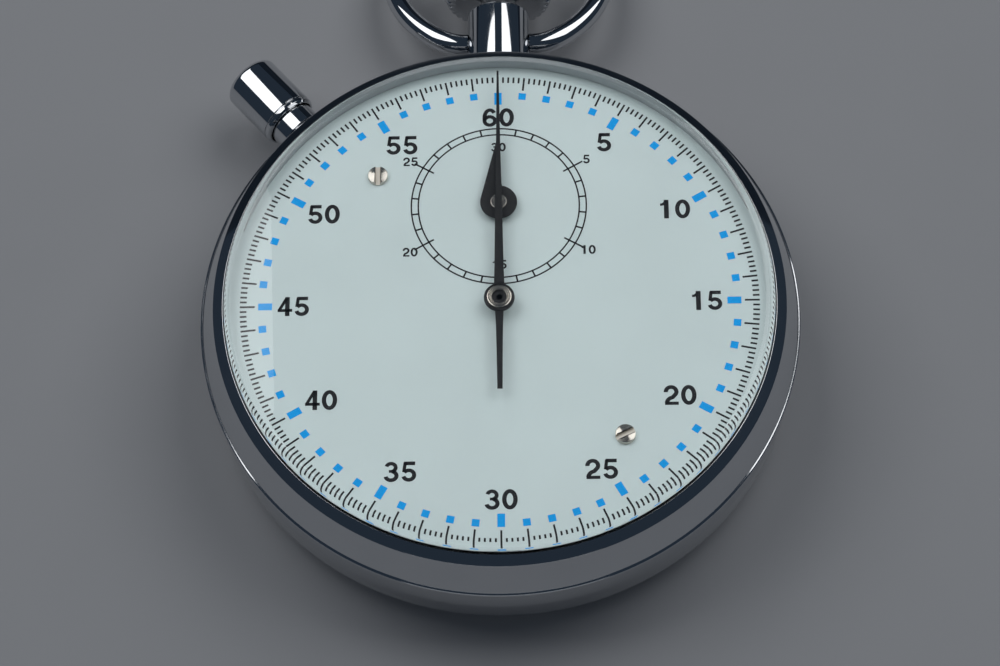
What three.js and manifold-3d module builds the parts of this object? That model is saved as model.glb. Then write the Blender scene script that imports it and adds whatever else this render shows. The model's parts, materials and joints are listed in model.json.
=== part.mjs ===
// A mechanical stopwatch: chrome case, 60 second dial, 30 minute register, and the movement inside.
// Millimetres. The origin is the middle of the flat back, +Z is the way the dial faces, and +Y
// points from the dial's centre to 12 and the crown.
import * as THREE from "three";
import { mergeVertices } from "three/addons/utils/BufferGeometryUtils.js";
import Module from "manifold-3d";

const wasm = await Module();
wasm.setup();

// ---------------------------------------------------------------- driving dimensions

const CASE_SIDES = 36;        // sides of the large round pieces

const FIT = 0.05;             // gap between pieces that are seated or pressed together
const SLIDE = 0.1;            // gap round a piece that slides or turns
const PLAY = 0.3;             // gap between pieces that move past each other

const CASE_R = 27.5;          // widest radius, at the bezel's lip
const BACK_SEAM_Z = 2.3;      // height of the line between the back and the middle case
const BACK_WALL = 1.0;        // thickness of the back
const MOVEMENT_R = 22.6;      // radius of the mainplate below its flange
const FLANGE_W = 1.1;         // how far the mainplate's flange stands out
const FLANGE_H = 0.4;
const PLATE_BOTTOM = 7.4;     // mainplate, from its train side
const PLATE_TOP = 10.0;       // to its dial side
const BRIDGE_T = 1.1;         // thickness of the bridges
const TRAIN_H = 3.2;          // height of the space between the bridges and the mainplate

const DIAL_TOP = 11.6;
const DIAL_T = 0.4;
const DIAL_R = 24.85;
const REHAUT_R = 24.6;        // inner radius of the tension ring round the dial
const REHAUT_T = 0.4;
const REHAUT_H = 1.3;
const BEZEL_EDGE_R = CASE_R - 1.46; // outer edge of the bezel's bevel
const BEZEL_EDGE_Z = 12.85;
const BEZEL_TOP = 13.4;       // inner edge of the bezel's bevel
const LIP_H = 0.5;            // rounded lip under the bezel's cone
const CRYSTAL_SHOULDER = 1.0; // height of the crystal's rounded shoulder over the bezel
const CRYSTAL_DOME = 0.6;     // rise of the crystal's top from its shoulder to its middle
const CRYSTAL_T = 1.5;        // thickness in the middle

// height of the crown's and the pusher's axis: the stem's collar clears the bridges
const AXIS_Z = PLATE_BOTTOM - TRAIN_H + 1.4;
const NECK_R = 3.0;
// height of the line between the middle case and the bezel: it clears the neck
const CASE_SEAM_Z = AXIS_Z + NECK_R + 0.4;
const NECK_END = CASE_R + 6.7; // distance of the neck's outer face from the dial's centre
const NECK_BORE = 1.75;
const CROWN_R = 5.2;
const CROWN_H = 6.5;
const CROWN_GAP = 1.5;        // gap between neck and crown
const CROWN_TRAVEL = 1.2;
const CROWN_FLUTES = 36;
const STEM_R = 0.75;
const COLLAR_R = 1.25;

const BOW_HINGE_Y = CASE_R + 3.5;
const BOW_WIRE_R = 1.05;
const BOW_RING_R = 10.4;      // radius of the ring's centre line
const BOW_REACH = 9.5;        // from the hinge to the ring's centre
const BOW_PIVOT_R = 0.6;

const PUSHER_ANGLE = 41;      // degrees from 12, against the clock
const PUSHER_R = 2.75;
const PUSHER_START = CASE_R + 2.75; // inner end of the cap, from the dial's centre
const PUSHER_L = 6.4;
const PUSHER_TUBE_R = 2.3;
const PUSHER_TUBE_END = CASE_R + 5.7;
const PUSHER_TRAVEL = 1.5;
const PUSHER_STEM_R = 0.8;

const REGISTER_Y = 10.05;     // centre of the 30 minute register
const SCREW_CIRCLE = 17.3;    // the dial screws' distance from the centre
const SCREW_ANGLE = -40.1;    // degrees from 12, with the clock, of the upper dial screw
const SCREW_HEAD_R = 0.925;

const SECONDS_TIP = 23.6;
const SECONDS_TAIL = 9.07;
const SECONDS_Z = 12.75;      // underside of the seconds hand
const MINUTE_TIP = 6.65;
const MINUTE_DISC_R = 1.7;
const MINUTE_Z = 12.2;
const HAND_T = 0.15;

// gear train: module and tooth counts
const TRAIN_M = 1 / 3;
const BARREL_M = 0.4;
const REGISTER_M = 0.24;      // from the seconds arbor to the intermediate wheel
const MINUTE_M = 0.32;        // from the intermediate pinion to the minute wheel
const RATCHET_M = 0.6;
const ESCAPE_M = 0.33;
const TEETH = {
  barrel: 40, secondPinion: 6, second: 36, thirdPinion: 6, third: 36, secondsPinion: 6,
  seconds: 36, escapePinion: 6, escape: 15, registerPinion: 6, intermediate: 36,
  intermediatePinion: 6, minute: 30, ratchet: 24, crownWheel: 22, windingPinion: 12, columns: 12,
};

// ---------------------------------------------------------------- derived places

const radians = THREE.MathUtils.degToRad;
const polar = (r, degrees) => [r * Math.cos(radians(degrees)), r * Math.sin(radians(degrees))];
const meshDistance = (m, a, b) => m * (a + b) / 2;
const apart = (a, b) => Math.hypot(a[0] - b[0], a[1] - b[1]);

// where two circles meet, on the left of the way from the first centre to the second
function meetingPoint(a, ra, b, rb) {
  const d = apart(a, b);
  const along = (d * d + ra * ra - rb * rb) / (2 * d);
  const aside = Math.sqrt(ra * ra - along * along);
  const u = [(b[0] - a[0]) / d, (b[1] - a[1]) / d];
  return [a[0] + u[0] * along - u[1] * aside, a[1] + u[1] * along + u[0] * aside];
}

const BRIDGE_TOP = PLATE_BOTTOM - TRAIN_H;
const BRIDGE_BOTTOM = BRIDGE_TOP - BRIDGE_T;
const CASE_BORE = MOVEMENT_R + PLAY;
const LEDGE_Z = PLATE_TOP - FLANGE_H - FIT;
const FLANGE_R = MOVEMENT_R + FLANGE_W;
const DIAL_BOTTOM = DIAL_TOP - DIAL_T;
const CRYSTAL_R = REHAUT_R + REHAUT_T;
const BEZEL_BORE = CRYSTAL_R + FIT;
const CRYSTAL_BOTTOM = DIAL_TOP + FIT + REHAUT_H + FIT;
const SHOULDER_R = CRYSTAL_R - 0.9 * CRYSTAL_SHOULDER;
const SHOULDER_Z = BEZEL_TOP + CRYSTAL_SHOULDER;
const CRYSTAL_TOP = SHOULDER_Z + CRYSTAL_DOME;

const CENTRE = [0, 0];
const REGISTER = [0, REGISTER_Y];
const BARREL_R = BARREL_M * TEETH.barrel / 2;
const BARREL = polar(MOVEMENT_R - BARREL_R - BARREL_M - PLAY, 153);
const SECOND_D = meshDistance(BARREL_M, TEETH.barrel, TEETH.secondPinion);
const SECOND = [BARREL[0] + polar(SECOND_D, -75)[0], BARREL[1] + polar(SECOND_D, -75)[1]];
const THIRD = meetingPoint(
  CENTRE, meshDistance(TRAIN_M, TEETH.third, TEETH.secondsPinion),
  SECOND, meshDistance(TRAIN_M, TEETH.second, TEETH.thirdPinion));
const ESCAPE = polar(meshDistance(TRAIN_M, TEETH.seconds, TEETH.escapePinion), -15);
const PALLET = [ESCAPE[0] + polar(3.9, 28)[0], ESCAPE[1] + polar(3.9, 28)[1]];
const BALANCE = [PALLET[0] + polar(4.4, 40)[0], PALLET[1] + polar(4.4, 40)[1]];
const BALANCE_R = 5.0;
const INTERMEDIATE = meetingPoint(
  REGISTER, meshDistance(MINUTE_M, TEETH.minute, TEETH.intermediatePinion),
  CENTRE, meshDistance(REGISTER_M, TEETH.intermediate, TEETH.registerPinion));
const RATCHET_D = meshDistance(RATCHET_M, TEETH.ratchet, TEETH.crownWheel);
const CROWN_WHEEL = [0, BARREL[1] + Math.sqrt(RATCHET_D ** 2 - BARREL[0] ** 2)];
const WINDING_Z0 = BRIDGE_BOTTOM - SLIDE - 0.6;   // back face of the ratchet and crown wheels
const WINDING_Z1 = BRIDGE_BOTTOM - SLIDE;
const CLICK_PIVOT = [BARREL[0] + polar(10.7, 72)[0], BARREL[1] + polar(10.7, 72)[1]];
const HAMMER_PIVOT = [BARREL[0] - 0.8, BARREL[1] - 0.9];
const LEVER_PIVOT = [6.6, 19.6];
const COLUMN_WHEEL = [12.2, 13.4];
const BRAKE_PIVOT = [16.8, 10.9];

// ---------------------------------------------------------------- helpers

// a closed mesh with its doubled corners merged and its faces turned outwards, as a solid
function toSolid(geometry) {
  const plain = geometry.index ? geometry.toNonIndexed() : geometry.clone();
  for (const name of Object.keys(plain.attributes)) {
    if (name !== "position") plain.deleteAttribute(name);
  }
  const merged = mergeVertices(plain, 1e-4);
  const at = merged.attributes.position;
  const faces = [];
  let volume = 0;
  const [a, b, c] = [new THREE.Vector3(), new THREE.Vector3(), new THREE.Vector3()];
  for (let i = 0; i < merged.index.count; i += 3) {
    const [p, q, r] = [merged.index.getX(i), merged.index.getX(i + 1), merged.index.getX(i + 2)];
    if (p === q || q === r || r === p) continue;
    faces.push([p, q, r]);
    volume += a.fromBufferAttribute(at, p).dot(
      b.fromBufferAttribute(at, q).cross(c.fromBufferAttribute(at, r)));
  }
  if (volume < 0) faces.forEach((face) => face.reverse());
  return new wasm.Manifold(new wasm.Mesh({
    numProp: 3,
    vertProperties: new Float32Array(at.array),
    triVerts: new Uint32Array(faces.flat()),
  }));
}

function toGeometry(solid) {
  const mesh = solid.getMesh();
  const geometry = new THREE.BufferGeometry();
  geometry.setAttribute("position", new THREE.BufferAttribute(new Float32Array(mesh.vertProperties), 3));
  geometry.setIndex(new THREE.BufferAttribute(new Uint32Array(mesh.triVerts), 1));
  geometry.computeVertexNormals();
  return geometry;
}

// a solid turned by angles in degrees about X, then Y, then Z, and then shifted
function moved(solid, [x, y, z], [turnX, turnY, turnZ] = [0, 0, 0]) {
  const turn = new THREE.Euler(radians(turnX), radians(turnY), radians(turnZ), "ZYX");
  const place = new THREE.Matrix4().makeRotationFromEuler(turn).setPosition(x, y, z);
  return toSolid(toGeometry(solid).applyMatrix4(place));
}

const join = (...solids) => solids.reduce((all, one) => all.add(one));
const cut = (solid, ...tools) => tools.reduce((left, tool) => left.subtract(tool), solid);

// a profile of [radius, z] pairs turned round the Z axis
function turned(profile, segments = 48) {
  const points = profile.map(([r, z]) => new THREE.Vector2(r, z));
  return toSolid(new THREE.LatheGeometry(points, segments).rotateX(Math.PI / 2));
}

// a closed profile that stays clear of the axis
const turnedRing = (profile, segments = CASE_SIDES) => turned([...profile, profile[0]], segments);

const disc = (r, z0, z1, segments = 24) =>
  turned([[0, z0], [r, z0], [r, z1], [0, z1]], segments);
const discAt = ([x, y], r, z0, z1, segments = 16) =>
  moved(disc(r, z0, z1, segments), [x, y, 0]);
const tube = (r0, r1, z0, z1, segments = 48) =>
  turnedRing([[r0, z0], [r1, z0], [r1, z1], [r0, z1]], segments);

// an outline of [x, y] points raised from z0 to z1
function raised(outline, z0, z1) {
  const shape = new THREE.Shape(outline.map(([x, y]) => new THREE.Vector2(x, y)));
  const geometry = new THREE.ExtrudeGeometry(shape, { depth: z1 - z0, bevelEnabled: false });
  return toSolid(geometry.translate(0, 0, z0));
}

// a flat bar with round ends from one point to another
function bar(a, b, width, z0, z1) {
  const direction = Math.atan2(b[1] - a[1], b[0] - a[0]);
  const half = (centre, start) => Array.from({ length: 5 }, (_, i) => {
    const angle = direction + start + i * Math.PI / 4;
    return [centre[0] + width / 2 * Math.cos(angle), centre[1] + width / 2 * Math.sin(angle)];
  });
  return raised([...half(b, -Math.PI / 2), ...half(a, Math.PI / 2)], z0, z1);
}

// a sector of a ring between two angles in degrees
function sector(r0, r1, start, end, z0, z1, steps = 6) {
  const arc = (r, from, to) => Array.from({ length: steps + 1 }, (_, i) =>
    polar(r, from + (to - from) * i / steps));
  return raised([...arc(r1, start, end), ...arc(r0, end, start)], z0, z1);
}

// a gear with slim pointed teeth
const ADDENDUM = 0.8;
const DEDENDUM = 1.1;
const ROOT_SHARE = 0.24;      // half a tooth's width at its root, as a share of the pitch
function gear(teeth, m, z0, z1, phase = 0) {
  const pitch = m * teeth / 2;
  const outline = Array.from({ length: teeth }, (_, i) => [
    [pitch - DEDENDUM * m, -ROOT_SHARE], [pitch + ADDENDUM * m, 0],
    [pitch - DEDENDUM * m, ROOT_SHARE],
  ].map(([r, share]) => polar(r, phase + (i + share) * 360 / teeth))).flat();
  return raised(outline, z0, z1);
}

// the turn, in degrees, that puts a gap of the driven gear on a tooth of the driving one
function meshPhase(from, fromTeeth, fromPhase, to, toTeeth) {
  const way = THREE.MathUtils.radToDeg(Math.atan2(to[1] - from[1], to[0] - from[0]));
  const share = (way - fromPhase) * fromTeeth / 360;
  return way + 180 - 360 / toTeeth * (0.5 - share);
}

// turns a solid made along Z so that it runs along +Y at the crown's height
const alongCrown = (solid) => moved(solid, [0, 0, AXIS_Z], [-90, 0, 0]);
// the same, then round to the pusher's place
const alongPusher = (solid) => moved(alongCrown(solid), [0, 0, 0], [0, 0, PUSHER_ANGLE]);

// a round wire bent along a curve
function wire(curve, radius, steps, sides = 8) {
  const section = new THREE.Shape(Array.from({ length: sides }, (_, i) => {
    const angle = 2 * Math.PI * (i + 0.5) / sides;
    return new THREE.Vector2(radius * Math.cos(angle), radius * Math.sin(angle));
  }));
  return toSolid(new THREE.ExtrudeGeometry(section, { steps, extrudePath: curve, bevelEnabled: false }));
}

class CoilCurve extends THREE.Curve {
  constructor(radius, start, end, turns) {
    super();
    Object.assign(this, { radius, start, end, turns });
  }

  getPoint(t, target = new THREE.Vector3()) {
    const angle = 2 * Math.PI * this.turns * t;
    return target.set(this.radius * Math.cos(angle), this.radius * Math.sin(angle),
      this.start + (this.end - this.start) * t);
  }
}

// a flat strip wound in a spiral, seen from above
function spiralStrip(r0, r1, turns, thickness, z0, z1, stepsPerTurn) {
  const count = Math.round(turns * stepsPerTurn);
  const side = (offset) => Array.from({ length: count + 1 }, (_, i) =>
    polar(r0 + (r1 - r0) * i / count + offset, 360 * turns * i / count));
  return raised([...side(thickness / 2), ...side(-thickness / 2).reverse()], z0, z1);
}

const finish = (color, roughness, metalness) =>
  new THREE.MeshStandardMaterial({ color, roughness, metalness });

const CHROME = () => finish(0xc9ccd0, 0.08, 1);
const STEEL = () => finish(0xa9adb2, 0.3, 1);
const NICKEL = () => finish(0xb8b2a6, 0.25, 1);
const BRASS = () => finish(0xc7a25a, 0.3, 1);
const BLUED = () => finish(0x24304f, 0.25, 1);
const BLACK = () => finish(0x101113, 0.45, 0);
const DIAL_WHITE = () => finish(0xe6e9ec, 0.5, 0);
const CLEAR = () => new THREE.MeshStandardMaterial(
  { color: 0xf4f8fa, roughness: 0.02, metalness: 0, transparent: true, opacity: 0.25 });

const stopwatch = new THREE.Group();

function add(name, solid, material, [x, y] = CENTRE) {
  const mesh = new THREE.Mesh(toGeometry(solid), material);
  mesh.name = name;
  mesh.position.set(x, y, 0);
  stopwatch.add(mesh);
}

// ---------------------------------------------------------------- case

const NECK_HOLE = NECK_R + FIT;
const PUSHER_HOLE = PUSHER_TUBE_R + FIT;
const UPSTAND_R = DIAL_R + SLIDE;             // the rim that the bezel snaps on to
const GASKET_R = CASE_BORE + 0.9;
const GASKET_W = 0.8;
const GASKET_GROOVE = 0.2;

function middleCase() {
  const wall = turnedRing([
    [CASE_BORE, BACK_SEAM_Z], [GASKET_R - SLIDE, BACK_SEAM_Z],
    [GASKET_R - SLIDE, BACK_SEAM_Z + GASKET_GROOVE],
    [GASKET_R + GASKET_W + SLIDE, BACK_SEAM_Z + GASKET_GROOVE],
    [GASKET_R + GASKET_W + SLIDE, BACK_SEAM_Z],
    [CASE_R - 1.15, BACK_SEAM_Z], [CASE_R - 0.68, BACK_SEAM_Z + 0.6],
    [CASE_R - 0.42, BACK_SEAM_Z + 1.4], [CASE_R - 0.26, BACK_SEAM_Z + 3.2],
    [CASE_R - 0.22, CASE_SEAM_Z - 0.5], [CASE_R - 0.42, CASE_SEAM_Z - 0.15],
    [UPSTAND_R, CASE_SEAM_Z - 0.15], [UPSTAND_R, DIAL_BOTTOM - FIT],
    [FLANGE_R + SLIDE, DIAL_BOTTOM - FIT], [FLANGE_R + SLIDE, LEDGE_Z], [CASE_BORE, LEDGE_Z],
  ]);
  return cut(wall,
    alongCrown(disc(NECK_HOLE, MOVEMENT_R - 2, CASE_R + 2, 24)),
    alongPusher(disc(PUSHER_HOLE, MOVEMENT_R - 2, CASE_R + 2, 24)));
}

function bezel() {
  return turnedRing([
    [BEZEL_BORE + FIT, CASE_SEAM_Z], [CASE_R - 0.25, CASE_SEAM_Z],
    [CASE_R - 0.05, CASE_SEAM_Z + 0.08], [CASE_R, CASE_SEAM_Z + LIP_H / 2],
    [CASE_R - 0.05, CASE_SEAM_Z + LIP_H - 0.08], [CASE_R - 0.2, CASE_SEAM_Z + LIP_H + 0.1],
    [BEZEL_EDGE_R, BEZEL_EDGE_Z], [BEZEL_BORE, BEZEL_TOP],
    [BEZEL_BORE, CRYSTAL_BOTTOM - FIT],
  ]);
}

function crystal() {
  const dome = (r, edge, rise, atEdge) => atEdge + rise * (1 - (r / edge) ** 2);
  const steps = [0, 0.5, 1];
  const underEdge = REHAUT_R - PLAY;
  const under = steps.map((s) => s * underEdge)
    .map((r) => [r, dome(r, underEdge, CRYSTAL_TOP - CRYSTAL_T - CRYSTAL_BOTTOM, CRYSTAL_BOTTOM)]);
  const shoulder = [0, 0.35, 0.7].map((s) => s * Math.PI / 2).map((angle) =>
    [SHOULDER_R + (CRYSTAL_R - SHOULDER_R) * Math.cos(angle),
      BEZEL_TOP + CRYSTAL_SHOULDER * Math.sin(angle)]);
  const top = steps.map((s) => s * SHOULDER_R).reverse()
    .map((r) => [r, dome(r, SHOULDER_R, CRYSTAL_DOME, SHOULDER_Z)]);
  return turned([...under, [CRYSTAL_R, CRYSTAL_BOTTOM], ...shoulder, ...top], CASE_SIDES);
}

function caseBack() {
  const lip = CASE_BORE - SLIDE;
  const floorR = CASE_R - 6.0;
  const seam = BACK_SEAM_Z - FIT;
  return turned([
    [0, 0], [floorR, 0], [floorR + 2.2, 0.25], [floorR + 3.6, 0.85], [floorR + 4.5, 1.6],
    [floorR + 4.8, seam], [lip, seam], [lip, seam + 1.4], [lip - 0.5, seam + 1.4],
    [lip - 0.5, BACK_WALL + 0.3], [lip - 1.5, BACK_WALL], [0, BACK_WALL],
  ], CASE_SIDES);
}

const backGasket = () => tube(GASKET_R, GASKET_R + GASKET_W, BACK_SEAM_Z - FIT / 2,
  BACK_SEAM_Z + GASKET_GROOVE - FIT / 2, CASE_SIDES);

const rehaut = () =>
  tube(REHAUT_R, CRYSTAL_R, DIAL_TOP + FIT, DIAL_TOP + FIT + REHAUT_H, CASE_SIDES);

function pendantNeck() {
  const start = CASE_BORE + 0.5;
  const body = turnedRing([
    [STEM_R + SLIDE, start], [NECK_R, start], [NECK_R, NECK_END - 0.2], [NECK_R - 0.2, NECK_END],
    [NECK_BORE, NECK_END], [NECK_BORE, start + 0.7], [STEM_R + SLIDE, start + 0.7],
  ], 24);
  const pivots = moved(disc(BOW_PIVOT_R + SLIDE, -2 * NECK_R, 2 * NECK_R, 12),
    [0, BOW_HINGE_Y, AXIS_Z], [0, 90, 0]);
  return cut(alongCrown(body), pivots);
}

function pusherTube() {
  const start = CASE_BORE + 0.5;
  return alongPusher(turnedRing([
    [PUSHER_STEM_R + SLIDE, start], [PUSHER_TUBE_R, start], [PUSHER_TUBE_R, CASE_R + 0.1],
    [PUSHER_R, CASE_R + 0.1], [PUSHER_R, CASE_R + 0.7], [PUSHER_TUBE_R, CASE_R + 1.0],
    [PUSHER_TUBE_R, PUSHER_TUBE_END], [PUSHER_TUBE_R - 0.4, PUSHER_TUBE_END],
    [PUSHER_TUBE_R - 0.4, start + 0.7], [PUSHER_STEM_R + SLIDE, start + 0.7],
  ], 20));
}

add("middle_case", middleCase(), CHROME());
add("bezel", bezel(), CHROME());
add("crystal", crystal(), CLEAR());
add("rehaut_ring", rehaut(), STEEL());
add("case_back", caseBack(), CHROME());
add("back_gasket", backGasket(), BLACK());
add("pendant_neck", pendantNeck(), CHROME());
add("pusher_tube", pusherTube(), CHROME());

// ---------------------------------------------------------------- crown, bow and pusher

const CROWN_START = NECK_END + CROWN_GAP;
const CROWN_END = CROWN_START + CROWN_H;
const SLEEVE_R = NECK_BORE - SLIDE;
const SLEEVE_START = CASE_BORE + 5.0;
const COLLAR_Y = CASE_BORE - 0.6;
const SPRING_WIRE_R = 0.16;
const STEM_START = CROWN_WHEEL[1] + 1.2;

function crown() {
  const socket = 5.0;
  const outline = Array.from({ length: CROWN_FLUTES }, (_, i) => [
    [CROWN_R - 0.35, -0.3], [CROWN_R, 0],
  ].map(([r, share]) => polar(r, (i + share) * 360 / CROWN_FLUTES))).flat();
  const fluted = raised(outline, CROWN_START, CROWN_END);
  const envelope = turned([
    [0, CROWN_START], [CROWN_R - 0.7, CROWN_START], [CROWN_R, CROWN_START + 0.5],
    [CROWN_R, CROWN_END - 1.3], [CROWN_R - 0.5, CROWN_END - 0.6], [CROWN_R - 2.2, CROWN_END - 0.12],
    [0, CROWN_END],
  ], CROWN_FLUTES);
  const shape = fluted.intersect(envelope);
  return alongCrown(cut(shape, disc(STEM_R + FIT, CROWN_START - 1, CROWN_START + socket, 16)));
}

const windingStem = () => alongCrown(turned([
  [0, STEM_START], [STEM_R, STEM_START], [STEM_R, COLLAR_Y - 0.6], [COLLAR_R, COLLAR_Y - 0.6],
  [COLLAR_R, COLLAR_Y], [STEM_R, COLLAR_Y], [STEM_R, CROWN_START + 5.0 - FIT],
  [0, CROWN_START + 5.0 - FIT],
], 16));

const crownSleeve = () =>
  alongCrown(tube(STEM_R + SLIDE, SLEEVE_R, SLEEVE_START, CROWN_START - FIT, 16));

const crownSpring = () => alongCrown(wire(
  new CoilCurve((STEM_R + NECK_BORE) / 2, CASE_BORE + 1.5, SLEEVE_START - 0.3, 4),
  SPRING_WIRE_R, 36, 4));

// the bow lies on the table: this is how far it droops from the hinge
const BOW_DROOP = THREE.MathUtils.radToDeg(
  Math.asin((AXIS_Z - BOW_WIRE_R - FIT) / (BOW_REACH + BOW_RING_R)));

// the ring's centre line: in from one pivot, round the ring and back to the other pivot
class BowCurve extends THREE.Curve {
  getPoint(t, target = new THREE.Vector3()) {
    const open = Math.acos(BOW_REACH / BOW_RING_R);
    const mouth = BOW_RING_R * Math.sin(open);
    const pin = mouth - NECK_R - BOW_WIRE_R;
    const s = 2 * t - 1;
    const endShare = 0.035;
    if (Math.abs(s) > 1 - endShare) {
      const inwards = (Math.abs(s) - 1 + endShare) / endShare;
      return target.set(Math.sign(s) * (mouth - pin * inwards), 0, 0);
    }
    const angle = (Math.PI - open) * s / (1 - endShare);
    return target.set(BOW_RING_R * Math.sin(angle), BOW_REACH + BOW_RING_R * Math.cos(angle), 0);
  }
}

function bow() {
  const mouth = Math.sqrt(BOW_RING_R ** 2 - BOW_REACH ** 2);
  const ring = wire(new BowCurve(), BOW_WIRE_R, 40, 8);
  const pivot = moved(disc(BOW_PIVOT_R, NECK_BORE + 0.35, mouth, 12), [0, 0, 0], [0, 90, 0]);
  const flat = join(ring, pivot, moved(pivot, [0, 0, 0], [0, 0, 180]));
  return moved(flat, [0, BOW_HINGE_Y, AXIS_Z], [-BOW_DROOP, 0, 0]);
}

function pusherCap() {
  const end = PUSHER_START + PUSHER_L;
  return alongPusher(turned([
    [0, PUSHER_TUBE_END + PUSHER_TRAVEL + 0.4],
    [PUSHER_TUBE_R + SLIDE, PUSHER_TUBE_END + PUSHER_TRAVEL + 0.4],
    [PUSHER_TUBE_R + SLIDE, PUSHER_START], [PUSHER_R - 0.1, PUSHER_START],
    [PUSHER_R, PUSHER_START + 0.1], [PUSHER_R, end - 0.6], [PUSHER_R - 0.2, end - 0.2],
    [PUSHER_R - 0.6, end], [0, end],
  ], 24));
}

const pusherStem = () => alongPusher(disc(
  PUSHER_STEM_R, MOVEMENT_R - 0.5, PUSHER_TUBE_END + PUSHER_TRAVEL + 0.4 - FIT, 16));

const pusherSpring = () => alongPusher(wire(
  new CoilCurve((PUSHER_STEM_R + PUSHER_TUBE_R - 0.4) / 2, CASE_BORE + 1.5,
    PUSHER_TUBE_END + PUSHER_TRAVEL, 5), SPRING_WIRE_R, 45, 4));

add("crown", crown(), CHROME());
add("winding_stem", windingStem(), STEEL());
add("crown_sleeve", crownSleeve(), STEEL());
add("crown_spring", crownSpring(), STEEL());
add("bow", bow(), CHROME());
add("pusher_cap", pusherCap(), CHROME());
add("pusher_stem", pusherStem(), STEEL());
add("pusher_spring", pusherSpring(), STEEL());

// ---------------------------------------------------------------- dial and hands

const SCREWS = [SCREW_ANGLE, SCREW_ANGLE + 180].map((angle) => polar(SCREW_CIRCLE, 90 - angle));
const ARBOR_R = 0.35;
const PIPE_R = 0.7;

function dial() {
  return cut(disc(DIAL_R, DIAL_BOTTOM, DIAL_TOP, CASE_SIDES),
    disc(PIPE_R + SLIDE, 0, 20, 16),
    discAt(REGISTER, ARBOR_R + PLAY, 0, 20, 12),
    ...SCREWS.map((place) => discAt(place, 0.5 + SLIDE, 0, 20, 12)));
}

// a screw with its head on top: the shank runs down into the plate
function slottedScrew(headR, headT, shankR, seat, length, slotAngle) {
  const slot = raised([[-headR - 1, -0.18], [headR + 1, -0.18], [headR + 1, 0.18], [-headR - 1, 0.18]],
    seat + headT * 0.5, seat + headT + 1);
  return cut(join(turned([
    [0, seat], [headR, seat], [headR, seat + headT - 0.1], [headR - 0.1, seat + headT],
    [0, seat + headT],
  ], 16), disc(shankR, seat - length, seat + 0.1, 8)), moved(slot, [0, 0, 0], [0, 0, slotAngle]));
}

// half the width of the seconds hand along its length
const HAND_WIDTHS = [
  [-SECONDS_TAIL, 0.24], [-5.5, 0.275], [0, 0.5], [7, 0.36], [16, 0.195], [SECONDS_TIP, 0.09],
];
const HUB_R = 1.4;
const SECONDS_COLLET_R = 1.135;
const MINUTE_ARBOR_R = 0.3;

function secondsHand() {
  const outline = [...HAND_WIDTHS.map(([y, half]) => [half, y]),
    ...HAND_WIDTHS.map(([y, half]) => [-half, y]).reverse()];
  return cut(join(raised(outline, SECONDS_Z, SECONDS_Z + HAND_T),
    disc(HUB_R, SECONDS_Z, SECONDS_Z + HAND_T, 32)), disc(SECONDS_COLLET_R, 0, 20, 32));
}

// a stepped collet whose pipe goes down through the dial and grips the seconds arbor
const secondsCollet = () => turnedRing([
  [ARBOR_R + FIT, DIAL_TOP], [PIPE_R, DIAL_TOP], [PIPE_R, SECONDS_Z - 0.25],
  [SECONDS_COLLET_R - FIT, SECONDS_Z - 0.25], [SECONDS_COLLET_R - FIT, SECONDS_Z + HAND_T + 0.1],
  [SECONDS_COLLET_R - 0.3, SECONDS_Z + 0.35], [PIPE_R - FIT, SECONDS_Z + 0.35],
  [PIPE_R - FIT, SECONDS_Z], [ARBOR_R + FIT, SECONDS_Z],
], 16);

// the pointer leaves the disc along its left side and narrows to a point just right of the middle
function minuteHand() {
  const tip = [0.23, MINUTE_TIP];
  const pointer = raised([[-MINUTE_DISC_R, 0], [0.2, 0], [0.3, MINUTE_DISC_R], tip,
    [tip[0] - 0.08, MINUTE_TIP]], MINUTE_Z, MINUTE_Z + HAND_T);
  return cut(join(disc(MINUTE_DISC_R, MINUTE_Z, MINUTE_Z + HAND_T, 32), pointer),
    disc(PIPE_R, 0, 20, 24));
}

const minuteCollet = () =>
  tube(MINUTE_ARBOR_R + FIT, PIPE_R - FIT, DIAL_TOP + SLIDE, MINUTE_Z + HAND_T + 0.1, 16);

add("dial", dial(), DIAL_WHITE());
SCREWS.forEach((place, i) => add(["dial_screw_left", "dial_screw_right"][i],
  slottedScrew(SCREW_HEAD_R, 0.35, 0.5, DIAL_TOP + FIT, 2.6, [90, 26][i]), NICKEL(), place));
add("seconds_hand", secondsHand(), BLACK());
add("seconds_hand_collet", secondsCollet(), NICKEL());
add("minute_hand", minuteHand(), BLACK(), REGISTER);
add("minute_hand_collet", minuteCollet(), NICKEL(), REGISTER);

// ---------------------------------------------------------------- movement plate and bridges

const PIVOT_R = 0.2;
const SHAFT_R = 0.4;
const BARREL_ARBOR_R = 1.0;
const SCREW_SHANK_R = 0.45;
const POST_R = 0.4;
const HAMMER_POST_R = 0.6;
const HAMMER_Z0 = DIAL_BOTTOM - 0.45;
const HAMMER_Z1 = DIAL_BOTTOM - 0.1;
const TAB = polar(MOVEMENT_R - 2.1, 90 + PUSHER_ANGLE);
const BRIDGE_R = MOVEMENT_R - 0.5;
const WINDING_PINION_Y = CROWN_WHEEL[1] + 4.9;
const WINDING_PINION_T = 1.2;
const WINDING_PINION_M = 0.32;
const CROWN_RIM = [5.0, 5.9];
const CROWN_RIM_H = 0.3;

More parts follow.
